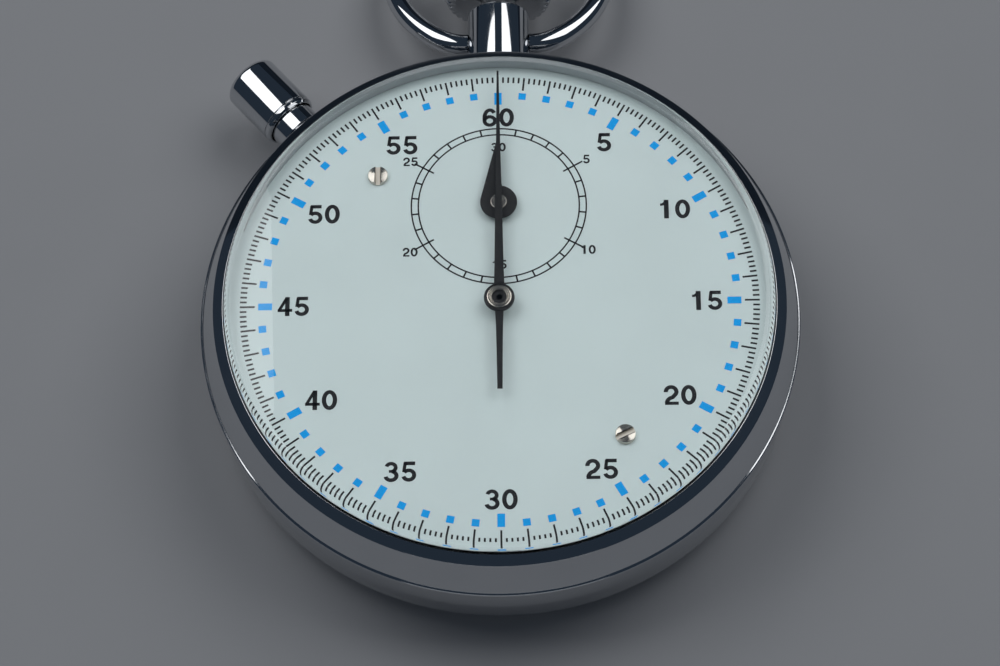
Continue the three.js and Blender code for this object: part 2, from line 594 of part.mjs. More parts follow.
// the layers between the bridges and the plate, in 320ths of its height, up from the bridges
const layer = (low, high) => [low, high].map((part) => BRIDGE_TOP + TRAIN_H * part / 320);
const HAIRSPRING_LAYER = layer(30, 55);
const SECOND_LAYER = layer(30, 55);
const THIRD_PINION_LAYER = layer(15, 80);
const COLUMN_BASE_LAYER = layer(65, 95);
const COLUMN_LAYER = layer(85, 175);
const DRUM_LAYER = layer(75, 300);
const LEVER_LAYER = layer(90, 190);
const SECONDS_PINION_LAYER = layer(100, 170);
const SPRING_HUB_LAYER = layer(115, 235);
const THIRD_LAYER = layer(120, 145);
const BRAKE_LAYER = layer(120, 170);
const MAINSPRING_LAYER = layer(120, 230);
const BALANCE_HUB_LAYER = layer(120, 180);
const BALANCE_ARM_LAYER = layer(130, 170);
const BALANCE_RIM_LAYER = layer(130, 175);
const ESCAPE_PINION_LAYER = layer(160, 225);
const SECONDS_LAYER = layer(180, 205);
const PALLET_COCK_LAYER = layer(190, 230);
const ROLLER_LAYER = layer(200, 225);
const IMPULSE_PIN_LAYER = layer(220, 280);
const SECOND_PINION_LAYER = layer(220, 305);
const ESCAPE_LAYER = layer(255, 285);

const FEET = { // of each bridge: inner radius, then start and end angle
  barrel: [[18.6, 101, 118], [18.9, 181, 186]],
  train: [[17.8, 218, 236], [14, 277, 290]],
  balance: [[19.0, -11, 16]],
};
const BRIDGE_SCREWS = { barrel: polar(20.5, 103.5), train: polar(19.9, 227), balance: polar(20.5, 5) };

const footPrism = ([r, start, end], z0) => sector(r, BRIDGE_R, start, end, z0, PLATE_BOTTOM - FIT);
const pivotHole = (place, r = PIVOT_R) => discAt(place, r + SLIDE, 0, PLATE_BOTTOM + 1.1, 10);

function mainplate() {
  const plate = turned([
    [0, PLATE_BOTTOM], [MOVEMENT_R, PLATE_BOTTOM], [MOVEMENT_R, PLATE_TOP - FLANGE_H],
    [FLANGE_R, PLATE_TOP - FLANGE_H], [FLANGE_R, PLATE_TOP], [0, PLATE_TOP],
  ], CASE_SIDES);
  const posts = [LEVER_PIVOT, COLUMN_WHEEL, BRAKE_PIVOT].map((place) =>
    discAt(place, POST_R, BRIDGE_TOP + 0.5, PLATE_BOTTOM + 0.1, 12));
  const half = WINDING_PINION_M * TEETH.windingPinion / 2 + 0.7;
  const pinionRecess = raised([
    [-half, WINDING_PINION_Y - PLAY], [half, WINDING_PINION_Y - PLAY],
    [half, WINDING_PINION_Y + WINDING_PINION_T + PLAY],
    [-half, WINDING_PINION_Y + WINDING_PINION_T + PLAY]], 0, AXIS_Z + half);
  const tabWindow = sector(MOVEMENT_R - 3.9, MOVEMENT_R - 1.0,
    84 + PUSHER_ANGLE, 95 + PUSHER_ANGLE, 0, 20, 3);
  return join(cut(plate,
    ...[SECOND, THIRD, ESCAPE, PALLET, BALANCE].map((place) => pivotHole(place)),
    pivotHole(BARREL, BARREL_ARBOR_R), disc(ARBOR_R + SLIDE, 0, 20, 12),
    ...[REGISTER, INTERMEDIATE].map((place) => discAt(place, MINUTE_ARBOR_R + SLIDE, 9, 20, 10)),
    ...SCREWS.map((place) => discAt(place, 0.5 + SLIDE, 8.9, 20, 12)),
    ...Object.values(BRIDGE_SCREWS).map((place) =>
      discAt(place, SCREW_SHANK_R + SLIDE, 0, PLATE_BOTTOM + 1.4, 12)),
    pinionRecess, tabWindow), ...posts,
  discAt(HAMMER_PIVOT, HAMMER_POST_R, PLATE_TOP - 0.1, HAMMER_Z1, 16));
}

// a bridge: its outline, its feet down to the plate, and the holes through it
function bridge(outline, feet, screw, holes) {
  const body = join(raised(outline, BRIDGE_BOTTOM, BRIDGE_TOP),
    ...feet.map((foot) => footPrism(foot, BRIDGE_TOP - 0.1)));
  return cut(body, discAt(screw, SCREW_SHANK_R + SLIDE, 0, 20, 12),
    ...holes.map(([place, r]) => discAt(place, r + SLIDE, 0, BRIDGE_TOP + 0.2, 10)));
}

const rimArc = (start, end, steps) => Array.from({ length: steps + 1 }, (_, i) =>
  polar(BRIDGE_R, start + (end - start) * i / steps));

function barrelBridge() {
  const body = bridge([...rimArc(66, 187, 16), [-8.4, 1.9], [4.2, 4.9], [8.2, 8.6]],
    FEET.barrel, BRIDGE_SCREWS.barrel, [[BARREL, BARREL_ARBOR_R], [CROWN_WHEEL, SCREW_SHANK_R]]);
  const rimGroove = moved(tube(CROWN_RIM[0] - 0.25, CROWN_RIM[1] + 0.25, 0,
    WINDING_Z1 + CROWN_RIM_H + 0.15, 32), [...CROWN_WHEEL, 0]);
  const half = WINDING_PINION_M * TEETH.windingPinion / 2 + 0.6;
  const window = raised([
    [-half, WINDING_PINION_Y - PLAY], [half, WINDING_PINION_Y - PLAY],
    [half, WINDING_PINION_Y + WINDING_PINION_T + PLAY],
    [-half, WINDING_PINION_Y + WINDING_PINION_T + PLAY]], 0, 20);
  return join(cut(body, rimGroove, window),
    discAt(CLICK_PIVOT, POST_R, WINDING_Z0, BRIDGE_BOTTOM + 0.1, 12));
}

const trainBridge = () => bridge(
  [...rimArc(190, 292, 14), [8.8, -8], [9.6, -1.6], [8.0, 1.2], [4.2, 4.3], [-8.4, 1.3]],
  FEET.train, BRIDGE_SCREWS.train,
  [CENTRE, SECOND, THIRD, ESCAPE].map((place) => [place, PIVOT_R]));

function balanceCock() {
  const [r, start, end] = FEET.balance[0];
  const arm = join(sector(r, BRIDGE_R, start, end, BRIDGE_BOTTOM, BRIDGE_TOP),
    bar(polar(r + 0.8, 6), BALANCE, 3.2, BRIDGE_BOTTOM, BRIDGE_TOP),
    discAt(BALANCE, 2.1, BRIDGE_BOTTOM, BRIDGE_TOP, 24), footPrism(FEET.balance[0], BRIDGE_TOP - 0.1));
  return cut(arm, discAt(BRIDGE_SCREWS.balance, SCREW_SHANK_R + SLIDE, 0, 20, 12),
    discAt(BALANCE, PIVOT_R + SLIDE, 0, BRIDGE_TOP + 0.2, 10));
}

// a screw driven in from the back, its head below the face at this height
const backScrew = (headR, shankR, seat, length, slotAngle) =>
  moved(slottedScrew(headR, 0.4, shankR, 0, length, slotAngle), [0, 0, seat - FIT], [180, 0, 0]);

add("mainplate", mainplate(), NICKEL());
add("barrel_bridge", barrelBridge(), NICKEL());
add("train_bridge", trainBridge(), NICKEL());
add("balance_cock", balanceCock(), NICKEL());
Object.entries(BRIDGE_SCREWS).forEach(([name, place], i) => add(
  `${name}_${name === "balance" ? "cock" : "bridge"}_screw`,
  backScrew(1.0, SCREW_SHANK_R, BRIDGE_BOTTOM, BRIDGE_T + TRAIN_H + 1.1, 20 + 35 * i),
  BLUED(), place));

// ---------------------------------------------------------------- winding and the going train

const [DRUM_Z0, DRUM_Z1] = DRUM_LAYER;
const DRUM_R = BARREL_R - 0.45;
const DRUM_WALL = 0.4;

function barrelDrum() {
  const body = join(gear(TEETH.barrel, BARREL_M, DRUM_Z1 - 0.5, DRUM_Z1),
    tube(DRUM_R - DRUM_WALL, DRUM_R, DRUM_Z0, DRUM_Z1 - 0.4, 36));
  return cut(body, disc(BARREL_ARBOR_R + SLIDE, 0, 20, 12));
}

const barrelArbor = () => cut(join(
  disc(BARREL_ARBOR_R, WINDING_Z0, PLATE_BOTTOM + 0.9, 16), disc(1.6, ...SPRING_HUB_LAYER, 16)),
disc(SCREW_SHANK_R + SLIDE, 0, WINDING_Z0 + 1.8, 12));

add("barrel_drum", barrelDrum(), BRASS(), BARREL);
add("barrel_cover", tube(BARREL_ARBOR_R + SLIDE, DRUM_R - DRUM_WALL - FIT,
  DRUM_Z0, DRUM_Z0 + 0.25, 36), BRASS(), BARREL);
add("barrel_arbor", barrelArbor(), STEEL(), BARREL);
add("mainspring", spiralStrip(1.95, DRUM_R - DRUM_WALL - 0.3, 4, 0.2, ...MAINSPRING_LAYER, 11),
  STEEL(), BARREL);
add("ratchet_wheel", cut(gear(TEETH.ratchet, RATCHET_M, WINDING_Z0, WINDING_Z1),
  disc(BARREL_ARBOR_R + FIT, 0, 20, 16)), STEEL(), BARREL);
add("ratchet_screw", backScrew(1.9, SCREW_SHANK_R, WINDING_Z0, 1.6, 15), BLUED(), BARREL);

const CROWN_BOSS_R = 1.1;
add("crown_wheel", cut(join(
  gear(TEETH.crownWheel, RATCHET_M, WINDING_Z0, WINDING_Z1,
    meshPhase(BARREL, TEETH.ratchet, 0, CROWN_WHEEL, TEETH.crownWheel)),
  tube(...CROWN_RIM, WINDING_Z1 - 0.1, WINDING_Z1 + CROWN_RIM_H, 32)),
disc(CROWN_BOSS_R + SLIDE, 0, 20, 16)), STEEL(), CROWN_WHEEL);
add("crown_wheel_screw", join(backScrew(1.9, SCREW_SHANK_R, WINDING_Z0, 1.6, 70),
  disc(CROWN_BOSS_R, WINDING_Z0 - FIT - 0.1, BRIDGE_BOTTOM - FIT, 16)), BLUED(), CROWN_WHEEL);

const windingPinion = cut(gear(TEETH.windingPinion, WINDING_PINION_M, WINDING_PINION_Y,
  WINDING_PINION_Y + WINDING_PINION_T), disc(STEM_R + SLIDE, 0, 50, 16));
add("winding_pinion", alongCrown(windingPinion), STEEL());

const ratchetTip = RATCHET_M * (TEETH.ratchet / 2 + ADDENDUM);
const clickNose = polar(ratchetTip + 0.55, 84).map((v, i) => v + BARREL[i]);
add("click", cut(join(bar(CLICK_PIVOT, clickNose, 0.7, WINDING_Z0 + 0.05, WINDING_Z1 - 0.05),
  discAt(CLICK_PIVOT, 0.85, WINDING_Z0 + 0.05, WINDING_Z1 - 0.05)),
discAt(CLICK_PIVOT, POST_R + SLIDE, 0, 20, 12)), STEEL());
const clickSpringFoot = [CLICK_PIVOT[0] + 1.9, CLICK_PIVOT[1] + 2.7];
add("click_spring", join(discAt(clickSpringFoot, 0.7, WINDING_Z0 + 0.1, BRIDGE_BOTTOM - FIT),
  bar(clickSpringFoot, [CLICK_PIVOT[0] + 0.95, CLICK_PIVOT[1] + 0.9], 0.25,
    WINDING_Z0 + 0.1, WINDING_Z1 - 0.1)), BLUED());

// an arbor that runs in a bridge and the plate
const shaft = () => join(disc(SHAFT_R, BRIDGE_TOP + SLIDE, PLATE_BOTTOM - SLIDE, 8),
  disc(PIVOT_R, BRIDGE_BOTTOM + 0.2, PLATE_BOTTOM + 0.8, 6));

add("second_wheel", join(gear(TEETH.second, TRAIN_M, ...SECOND_LAYER),
  gear(TEETH.secondPinion, BARREL_M, ...SECOND_PINION_LAYER,
    meshPhase(BARREL, TEETH.barrel, 0, SECOND, TEETH.secondPinion)), shaft()), BRASS(), SECOND);
add("third_wheel", join(gear(TEETH.third, TRAIN_M, ...THIRD_LAYER),
  gear(TEETH.thirdPinion, TRAIN_M, ...THIRD_PINION_LAYER,
    meshPhase(SECOND, TEETH.second, 0, THIRD, TEETH.thirdPinion)), shaft()), BRASS(), THIRD);
add("seconds_wheel", join(
  gear(TEETH.seconds, TRAIN_M, ...SECONDS_LAYER),
  gear(TEETH.secondsPinion, TRAIN_M, ...SECONDS_PINION_LAYER,
    meshPhase(THIRD, TEETH.third, 0, CENTRE, TEETH.secondsPinion)), shaft(),
  disc(ARBOR_R, PLATE_BOTTOM - 0.2, SECONDS_Z - FIT, 12),
  gear(TEETH.registerPinion, REGISTER_M, PLATE_TOP + 0.1, PLATE_TOP + 0.4)), BRASS());
add("escape_wheel", join(gear(TEETH.escape, ESCAPE_M, ...ESCAPE_LAYER),
  gear(TEETH.escapePinion, TRAIN_M, ...ESCAPE_PINION_LAYER,
    meshPhase(CENTRE, TEETH.seconds, 0, ESCAPE, TEETH.escapePinion)), shaft()), STEEL(), ESCAPE);

const way = (a, b) => THREE.MathUtils.radToDeg(Math.atan2(b[1] - a[1], b[0] - a[0]));
const along = (a, degrees, r) => [a[0] + polar(r, degrees)[0], a[1] + polar(r, degrees)[1]];

function palletFork() {
  const escapeWay = way(ESCAPE, PALLET);
  const arms = [-42, 42].map((turn) =>
    bar(PALLET, along(ESCAPE, escapeWay + turn, 3.25), 0.45, ...ESCAPE_LAYER));
  return join(bar(PALLET, along(PALLET, way(PALLET, BALANCE), 3.2), 0.5, ...ESCAPE_LAYER), ...arms,
    discAt(PALLET, PIVOT_R, PALLET_COCK_LAYER[1] - 0.3, PLATE_BOTTOM + 0.8, 8),
    discAt(PALLET, SHAFT_R, PALLET_COCK_LAYER[1] + SLIDE, PLATE_BOTTOM - SLIDE, 10));
}

// the small cock between the balance and the pallet fork
function palletCock() {
  const foot = [PALLET[0] + 1.5, PALLET[1] - 4.5];
  return cut(join(bar(PALLET, foot, 1.1, ...PALLET_COCK_LAYER),
    discAt(foot, 0.9, PALLET_COCK_LAYER[0], PLATE_BOTTOM - FIT, 12)),
  discAt(PALLET, PIVOT_R + SLIDE, 0, 20, 8));
}

function balanceWheel() {
  const pin = polar(0.6, way(BALANCE, PALLET));
  const arms = [90, 210, 330].map((angle) =>
    bar(CENTRE, polar(BALANCE_R - 0.4, angle), 0.5, ...BALANCE_ARM_LAYER));
  return join(tube(BALANCE_R - 0.7, BALANCE_R, ...BALANCE_RIM_LAYER, 28),
    disc(0.8, ...BALANCE_HUB_LAYER, 12), ...arms,
    disc(SHAFT_R, BRIDGE_TOP + SLIDE, PLATE_BOTTOM - SLIDE, 10),
    disc(PIVOT_R, BRIDGE_BOTTOM + 0.2, PLATE_BOTTOM + 0.8, 8),
    disc(0.9, ...ROLLER_LAYER, 16), discAt(pin, 0.13, ...IMPULSE_PIN_LAYER, 6));
}

add("pallet_fork", palletFork(), STEEL());
add("pallet_cock", palletCock(), NICKEL());
add("balance_wheel", balanceWheel(), BRASS(), BALANCE);
add("hairspring", spiralStrip(0.75, 3.0, 3, 0.12, ...HAIRSPRING_LAYER, 10), BLUED(), BALANCE);

// ---------------------------------------------------------------- start, stop, reset and register

// a heart cam: its radius grows evenly from the notch that faces +Y round to the far side
function heart(least, most, bore) {
  const outline = Array.from({ length: 24 }, (_, i) => {
    const turn = i * 15 - 180;
    return polar(least + (most - least) * Math.abs(turn) / 180, 90 + turn);
  });
  return cut(raised(outline, HAMMER_Z0, HAMMER_Z1), disc(bore + FIT, 0, 20, 12));
}

add("seconds_heart", heart(0.65, 1.4, ARBOR_R), STEEL());
add("minute_heart", heart(0.65, 1.3, MINUTE_ARBOR_R), STEEL(), REGISTER);
add("intermediate_wheel", join(
  gear(TEETH.intermediate, REGISTER_M, PLATE_TOP + 0.12, PLATE_TOP + 0.32,
    meshPhase(CENTRE, TEETH.registerPinion, 0, INTERMEDIATE, TEETH.intermediate)),
  gear(TEETH.intermediatePinion, MINUTE_M, PLATE_TOP + 0.3, HAMMER_Z0 - FIT),
  disc(MINUTE_ARBOR_R, 9.2, PLATE_TOP + 0.2, 10)), BRASS(), INTERMEDIATE);
add("minute_wheel", join(
  gear(TEETH.minute, MINUTE_M, PLATE_TOP + 0.42, PLATE_TOP + 0.62,
    meshPhase(INTERMEDIATE, TEETH.intermediatePinion, 0, REGISTER, TEETH.minute)),
  disc(MINUTE_ARBOR_R, 9.2, MINUTE_Z + HAND_T, 12)), BRASS(), REGISTER);

function resetHammer() {
  const [px, py] = HAMMER_PIVOT;
  const level = (a, b, width) => bar(a, b, width, HAMMER_Z0, HAMMER_Z1);
  const tab = moved(raised([[-0.8, -0.4], [0.8, -0.4], [0.8, 0.4], [-0.8, 0.4]],
    AXIS_Z - PUSHER_STEM_R, HAMMER_Z1), [...TAB, 0], [0, 0, PUSHER_ANGLE]);
  const body = join(discAt(HAMMER_PIVOT, 1.4, HAMMER_Z0, HAMMER_Z1, 20),
    level([px, py], [-4.5, 3.4], 1.2), level([-4.5, 3.4], [0.5, 2.95], 0.8),
    level([px, py], [-8.5, REGISTER_Y + 2.1], 1.2),
    level([-8.5, REGISTER_Y + 2.1], [0.5, REGISTER_Y + 2.85], 0.8),
    level([px, py], TAB, 0.9), tab);
  return cut(body, discAt(HAMMER_PIVOT, HAMMER_POST_R + SLIDE, 0, 20, 16));
}

const springFoot = [HAMMER_PIVOT[0] - 6.0, HAMMER_PIVOT[1] + 0.5];
add("reset_hammer", resetHammer(), STEEL());
add("hammer_spring", join(discAt(springFoot, 0.8, PLATE_TOP + FIT, HAMMER_Z1),
  bar(springFoot, [HAMMER_PIVOT[0] - 1.6, HAMMER_PIVOT[1] + 5.0], 0.25, HAMMER_Z0, HAMMER_Z1)), BLUED());

add("operating_lever", cut(join(
  bar(LEVER_PIVOT, [COLLAR_R + 0.4, COLLAR_Y - 1.35], 1.0, ...LEVER_LAYER),
  bar(LEVER_PIVOT, [LEVER_PIVOT[0] + 3.6, LEVER_PIVOT[1] - 4.0], 0.7, ...LEVER_LAYER),
  discAt(LEVER_PIVOT, 0.9, ...LEVER_LAYER)), discAt(LEVER_PIVOT, POST_R + SLIDE, 0, 20, 12)),
STEEL());

const COLUMN_M = 0.28;
const columns = Array.from({ length: TEETH.columns / 2 }, (_, i) =>
  discAt(polar(1.15, i * 720 / TEETH.columns), 0.3, ...COLUMN_LAYER, 6));
add("column_wheel", cut(join(gear(TEETH.columns, COLUMN_M, ...COLUMN_BASE_LAYER), ...columns),
  disc(POST_R + SLIDE, 0, 20, 12)), STEEL(), COLUMN_WHEEL);

const brakeNose = [COLUMN_WHEEL[0] + 2.15, COLUMN_WHEEL[1] - 0.9];
const brakeFoot = along(BALANCE, way(BALANCE, BRAKE_PIVOT) - 25, BALANCE_R + 1.0);
add("brake_lever", cut(join(bar(BRAKE_PIVOT, brakeNose, 0.6, ...BRAKE_LAYER),
  bar(BRAKE_PIVOT, brakeFoot, 0.6, ...BRAKE_LAYER), discAt(BRAKE_PIVOT, 0.9, ...BRAKE_LAYER)),
discAt(BRAKE_PIVOT, POST_R + SLIDE, 0, 20, 12)), STEEL());

export default stopwatch;
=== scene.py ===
"""A mechanical stopwatch: chrome case, 60 second dial, 30 minute register, crown, bow and pusher.

Metres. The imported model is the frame: +Z is the way the dial faces and +Y points from the dial's
centre to 12. Every visible piece is a surface worked out with numpy and laid round that frame.
"""

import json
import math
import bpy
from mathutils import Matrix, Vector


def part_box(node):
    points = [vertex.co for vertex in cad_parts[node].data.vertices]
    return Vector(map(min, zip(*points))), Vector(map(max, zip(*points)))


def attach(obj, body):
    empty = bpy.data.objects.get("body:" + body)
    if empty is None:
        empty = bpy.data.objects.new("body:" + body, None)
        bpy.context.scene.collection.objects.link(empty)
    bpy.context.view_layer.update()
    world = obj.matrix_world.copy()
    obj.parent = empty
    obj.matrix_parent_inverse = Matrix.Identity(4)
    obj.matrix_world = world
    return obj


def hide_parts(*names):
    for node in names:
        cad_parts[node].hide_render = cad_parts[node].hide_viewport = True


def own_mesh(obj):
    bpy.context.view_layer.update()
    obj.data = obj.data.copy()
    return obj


bl_info = {
    "name": "Mechanical stopwatch",
    "version": (1, 0, 0),
    "blender": (4, 5, 0),
    "location": "3D View > Sidebar > Stopwatch",
    "description": "Makes the pieces of a chrome mechanical stopwatch round its packed frame",
    "category": "Add Mesh",
}

import bmesh
import bpy
import numpy as np
from mathutils import Matrix

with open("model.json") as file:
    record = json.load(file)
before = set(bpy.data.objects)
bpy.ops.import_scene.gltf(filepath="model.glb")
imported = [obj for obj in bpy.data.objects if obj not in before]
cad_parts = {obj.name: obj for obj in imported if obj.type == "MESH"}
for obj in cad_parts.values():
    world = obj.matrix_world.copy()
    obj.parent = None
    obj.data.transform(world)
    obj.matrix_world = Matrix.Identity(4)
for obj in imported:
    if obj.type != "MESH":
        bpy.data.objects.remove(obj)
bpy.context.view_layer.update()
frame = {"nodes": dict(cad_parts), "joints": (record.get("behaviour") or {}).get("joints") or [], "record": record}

MM = 0.001
TURN = 2 * math.pi


def low(node):
    """Lowest corner of a node's box."""
    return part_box(node)[0]


def high(node):
    """Highest corner of a node's box."""
    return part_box(node)[1]


def radius(node):
    """Half the wider of a node's sizes in X and Y."""
    return max(high(node)[0] - low(node)[0], high(node)[1] - low(node)[1]) / 2


def middle(node):
    """Middle of a node's box."""
    return [(a + b) / 2 for a, b in zip(*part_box(node))]


def joint(name):
    """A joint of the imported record."""
    return next(j for j in frame["joints"] if j["name"] == name)


AXIS_Z = joint("crown_turn")["pos_m"][2]
PUSH_X, PUSH_Y, _ = joint("reset_push")["axis"]
PUSH_TURN = math.atan2(PUSH_X, -PUSH_Y)
PUSH_TRAVEL = joint("reset_push")["range_m"][1]
CROWN_TRAVEL = joint("crown_push")["range_m"][1]
BOW_HINGE_Y = joint("bow_swing")["pos_m"][1]
REGISTER_Y = joint("minutes_turn")["pos_m"][1]
CASE_R = radius("bezel")
SEAM_Z = low("bezel")[2]
DIAL_TOP = high("dial")[2]
CRYSTAL_R = radius("crystal")


def length(name, value, description):
    """A size property in metres."""
    return bpy.props.FloatProperty(name=name, description=description, default=value,
                                   min=0.0, unit="LENGTH", precision=5)


def angle(name, degrees, description):
    """An angle property, given in degrees and kept in radians."""
    return bpy.props.FloatProperty(name=name, description=description,
                                   default=math.radians(degrees), unit="ROTATION")


def colour(name, value, description):
    """A linear colour property."""
    return bpy.props.FloatVectorProperty(name=name, description=description, default=value,
                                         subtype="COLOR", size=3, min=0.0, max=1.0)


class CaseSizes(bpy.types.PropertyGroup):
    """Sizes of the case, its bezel and its crystal."""
    cone_top_r: length("Cone's upper radius", 26.04 * MM, "Where the cone meets the bevel")
    cone_top_z: length("Cone's upper height", 12.85 * MM, "Height of that edge over the table")
    bevel_bore: length("Bevel's inner radius", 25.08 * MM, "Bore that holds the crystal")
    lip_h: length("Lip height", 0.5 * MM, "Rounded lip below the cone")
    crystal_t: length("Crystal thickness", 1.5 * MM, "Thickness in the middle")
    shoulder_w: length("Shoulder width", 0.9 * MM, "Width of the crystal's rounded shoulder")
    shoulder_h: length("Shoulder height", 1.0 * MM, "Height of the shoulder over the bezel")
    rehaut_w: length("Ring wall", 0.4 * MM, "Thickness of the ring round the dial")
    back_flat_r: length("Back's flat radius", 21.5 * MM, "Radius of the flat middle of the back")


class DialSizes(bpy.types.PropertyGroup):
    """Sizes of what is printed on the dial."""
    print_t: length("Print thickness", 0.012 * MM, "Thickness of the printed layer")
    tick_out: length("Tick outer radius", 23.6 * MM, "Outer end of the fifth second ticks")
    tick_short: length("Short tick", 0.6 * MM, "Length of a fifth second tick")
    tick_long: length("Long tick", 1.35 * MM, "Length of a whole second tick")
    tick_w: length("Tick width", 0.175 * MM, "Width of a tick")
    mark_r: length("Mark radius", 21.62 * MM, "Middle of the blue squares")
    mark_w: length("Mark width", 0.69 * MM, "Side of a blue square")
    bar_r: length("Bar radius", 21.3 * MM, "Middle of the blue bars at each fifth second")
    bar_l: length("Bar length", 1.27 * MM, "Length of a blue bar")
    numeral_h: length("Numeral height", 1.92 * MM, "Height of the seconds numerals")
    register_out: length("Register outer radius", 8.05 * MM, "Outer line of the register")
    register_in: length("Register inner radius", 7.41 * MM, "Inner line of the register")
    line_w: length("Line width", 0.14 * MM, "Width of the register's two lines")
    minute_w: length("Minute tick width", 0.16 * MM, "Width of a minute tick")
    cross_in: length("Cross line inner end", 6.9 * MM, "Inner end of the fifth minute lines")
    cross_out: length("Cross line outer end", 8.95 * MM, "Outer end of the fifth minute lines")
    small_h: length("Register numeral height", 0.9 * MM, "Height of the register's numerals")


class HandSizes(bpy.types.PropertyGroup):
    """Sizes of the hands and their bosses."""
    hub_r: length("Hub radius", 1.4 * MM, "Radius of the seconds hand's hub")
    boss_r: length("Boss radius", 1.12 * MM, "Radius of the bright boss in the hub")
    boss_bore: length("Boss bore", 0.66 * MM, "Radius of the dark hollow in the boss")
    disc_r: length("Minute disc radius", 1.7 * MM, "Radius of the minute hand's disc")
    minute_boss_r: length("Minute boss radius", 0.75 * MM, "Radius of the minute hand's boss")
    edge: length("Edge", 0.035 * MM, "Chamfer round the hands")


class CrownSizes(bpy.types.PropertyGroup):
    """Sizes of the crown, the neck, the bow and the pusher."""
    flutes: bpy.props.IntProperty(name="Flutes", description="Flutes round the crown",
                                  default=36, min=12)
    flute_depth: length("Flute depth", 0.5 * MM, "Depth of a flute")
    neck_bore: length("Neck bore", 1.75 * MM, "Bore of the neck, round the sleeve")
    wire_r: length("Bow wire", 1.05 * MM, "Radius of the bow's wire")
    ring_r: length("Bow ring", 10.4 * MM, "Radius of the ring's centre line")
    reach: length("Bow reach", 9.5 * MM, "From the hinge to the ring's centre")
    pivot_r: length("Bow pivot", 0.6 * MM, "Radius of the wire's ends in the neck")
    spring_wire_r: length("Spring wire", 0.16 * MM, "Radius of the springs' wire")
    tube_bore: length("Tube bore", 1.9 * MM, "Bore of the pusher's tube")
    tube_r: length("Tube radius", 2.3 * MM, "Radius of the pusher's tube")
    tube_end: length("Tube end", 33.2 * MM, "Outer end of the tube, from the centre")
    cap_r: length("Cap radius", 2.75 * MM, "Radius of the pusher's cap")
    cap_start: length("Cap start", 30.25 * MM, "Inner end of the cap, from the centre")
    cap_l: length("Cap length", 6.4 * MM, "Length of the cap")


class Finishes(bpy.types.PropertyGroup):
    """Linear colours of the finishes."""
    chrome: colour("Chrome", (0.62, 0.635, 0.655), "Chrome plate")
    steel: colour("Steel", (0.50, 0.505, 0.51), "Ground steel")
    nickel: colour("Nickel", (0.60, 0.56, 0.50), "Bright nickel")
    ring: colour("Ring", (0.36, 0.385, 0.40), "Satin ring round the dial")
    brass: colour("Brass", (0.60, 0.44, 0.20), "Lapped brass")
    blued: colour("Blued steel", (0.02, 0.045, 0.16), "Heat-blued steel")
    rubber: colour("Rubber", (0.012, 0.012, 0.013), "Nitrile gasket")
    lacquer: colour("Lacquer", (0.008, 0.008, 0.009), "Black lacquer of the hands")
    enamel: colour("Dial", (0.635, 0.735, 0.73), "Cool white dial paint")
    black_ink: colour("Black ink", (0.012, 0.012, 0.014), "Black print")
    blue_ink: colour("Blue ink", (0.0, 0.36, 0.88), "Blue print")
    crystal: colour("Crystal", (0.985, 0.995, 1.0), "Clear acrylic")
    table: colour("Table", (0.39, 0.4, 0.42), "Plain pale table")


class StageSizes(bpy.types.PropertyGroup):
    """Camera, lights and table."""
    target_x: bpy.props.FloatProperty(name="Target X", description="Point the camera faces, X",
                                      default=0.02 * MM, unit="LENGTH", precision=5)
    target_y: bpy.props.FloatProperty(name="Target Y", description="Point the camera faces, Y",
                                      default=-2.97 * MM, unit="LENGTH", precision=5)
    target_z: length("Target height", 12.1 * MM, "Point the camera faces, height")
    distance: length("Camera distance", 317.4 * MM, "From that point to the camera")
    elevation: angle("Elevation", 64.204, "Camera above the horizon")
    azimuth: angle("Azimuth", 1.893, "Camera round the dial")
    roll: angle("Roll", -2.547, "Camera turned about its own axis")
    lens: bpy.props.FloatProperty(name="Lens", description="Focal length in millimetres",
                                  default=126.21, min=1.0)
    box_far: length("Softbox distance", 520 * MM, "From the watch to each softbox")
    box_aside: angle("Softbox aside", 29.5, "Softbox's middle, to the side")
    box_width: length("Softbox width", 352 * MM, "Width of each softbox")
    left_height: length("Left softbox height", 358 * MM, "Height of the left softbox")
    right_height: length("Right softbox height", 378 * MM, "Height of the right softbox")
    left_elevation: angle("Left elevation", 69, "Left softbox above the horizon behind")
    right_elevation: angle("Right elevation", 68, "Right softbox above the horizon behind")
    left_power: bpy.props.FloatProperty(name="Left power", description="Watts of the left softbox",
                                        default=0.74, min=0.0)
    right_power: bpy.props.FloatProperty(name="Right power", default=0.74, min=0.0,
                                         description="Watts of the right softbox")
    fill_power: bpy.props.FloatProperty(name="Fill power", default=0.12, min=0.0,
                                        description="Watts of the low lamp in front")
    surroundings: colour("Surroundings", (0.023, 0.034, 0.05), "Light of the dim studio")


TABLE_HALF = 3.0              # metres, half the table's side
TABLE_FLAT = 1.2              # metres, how far behind the watch the table stays flat
SENSOR_W = 36.0               # millimetres, which the lens property goes with

GROUPS = {
    "stopwatch_case": CaseSizes,
    "stopwatch_dial": DialSizes,
    "stopwatch_hands": HandSizes,
    "stopwatch_crown": CrownSizes,
    "stopwatch_finishes": Finishes,
    "stopwatch_stage": StageSizes,
}


# ---------------------------------------------------------------- surfaces

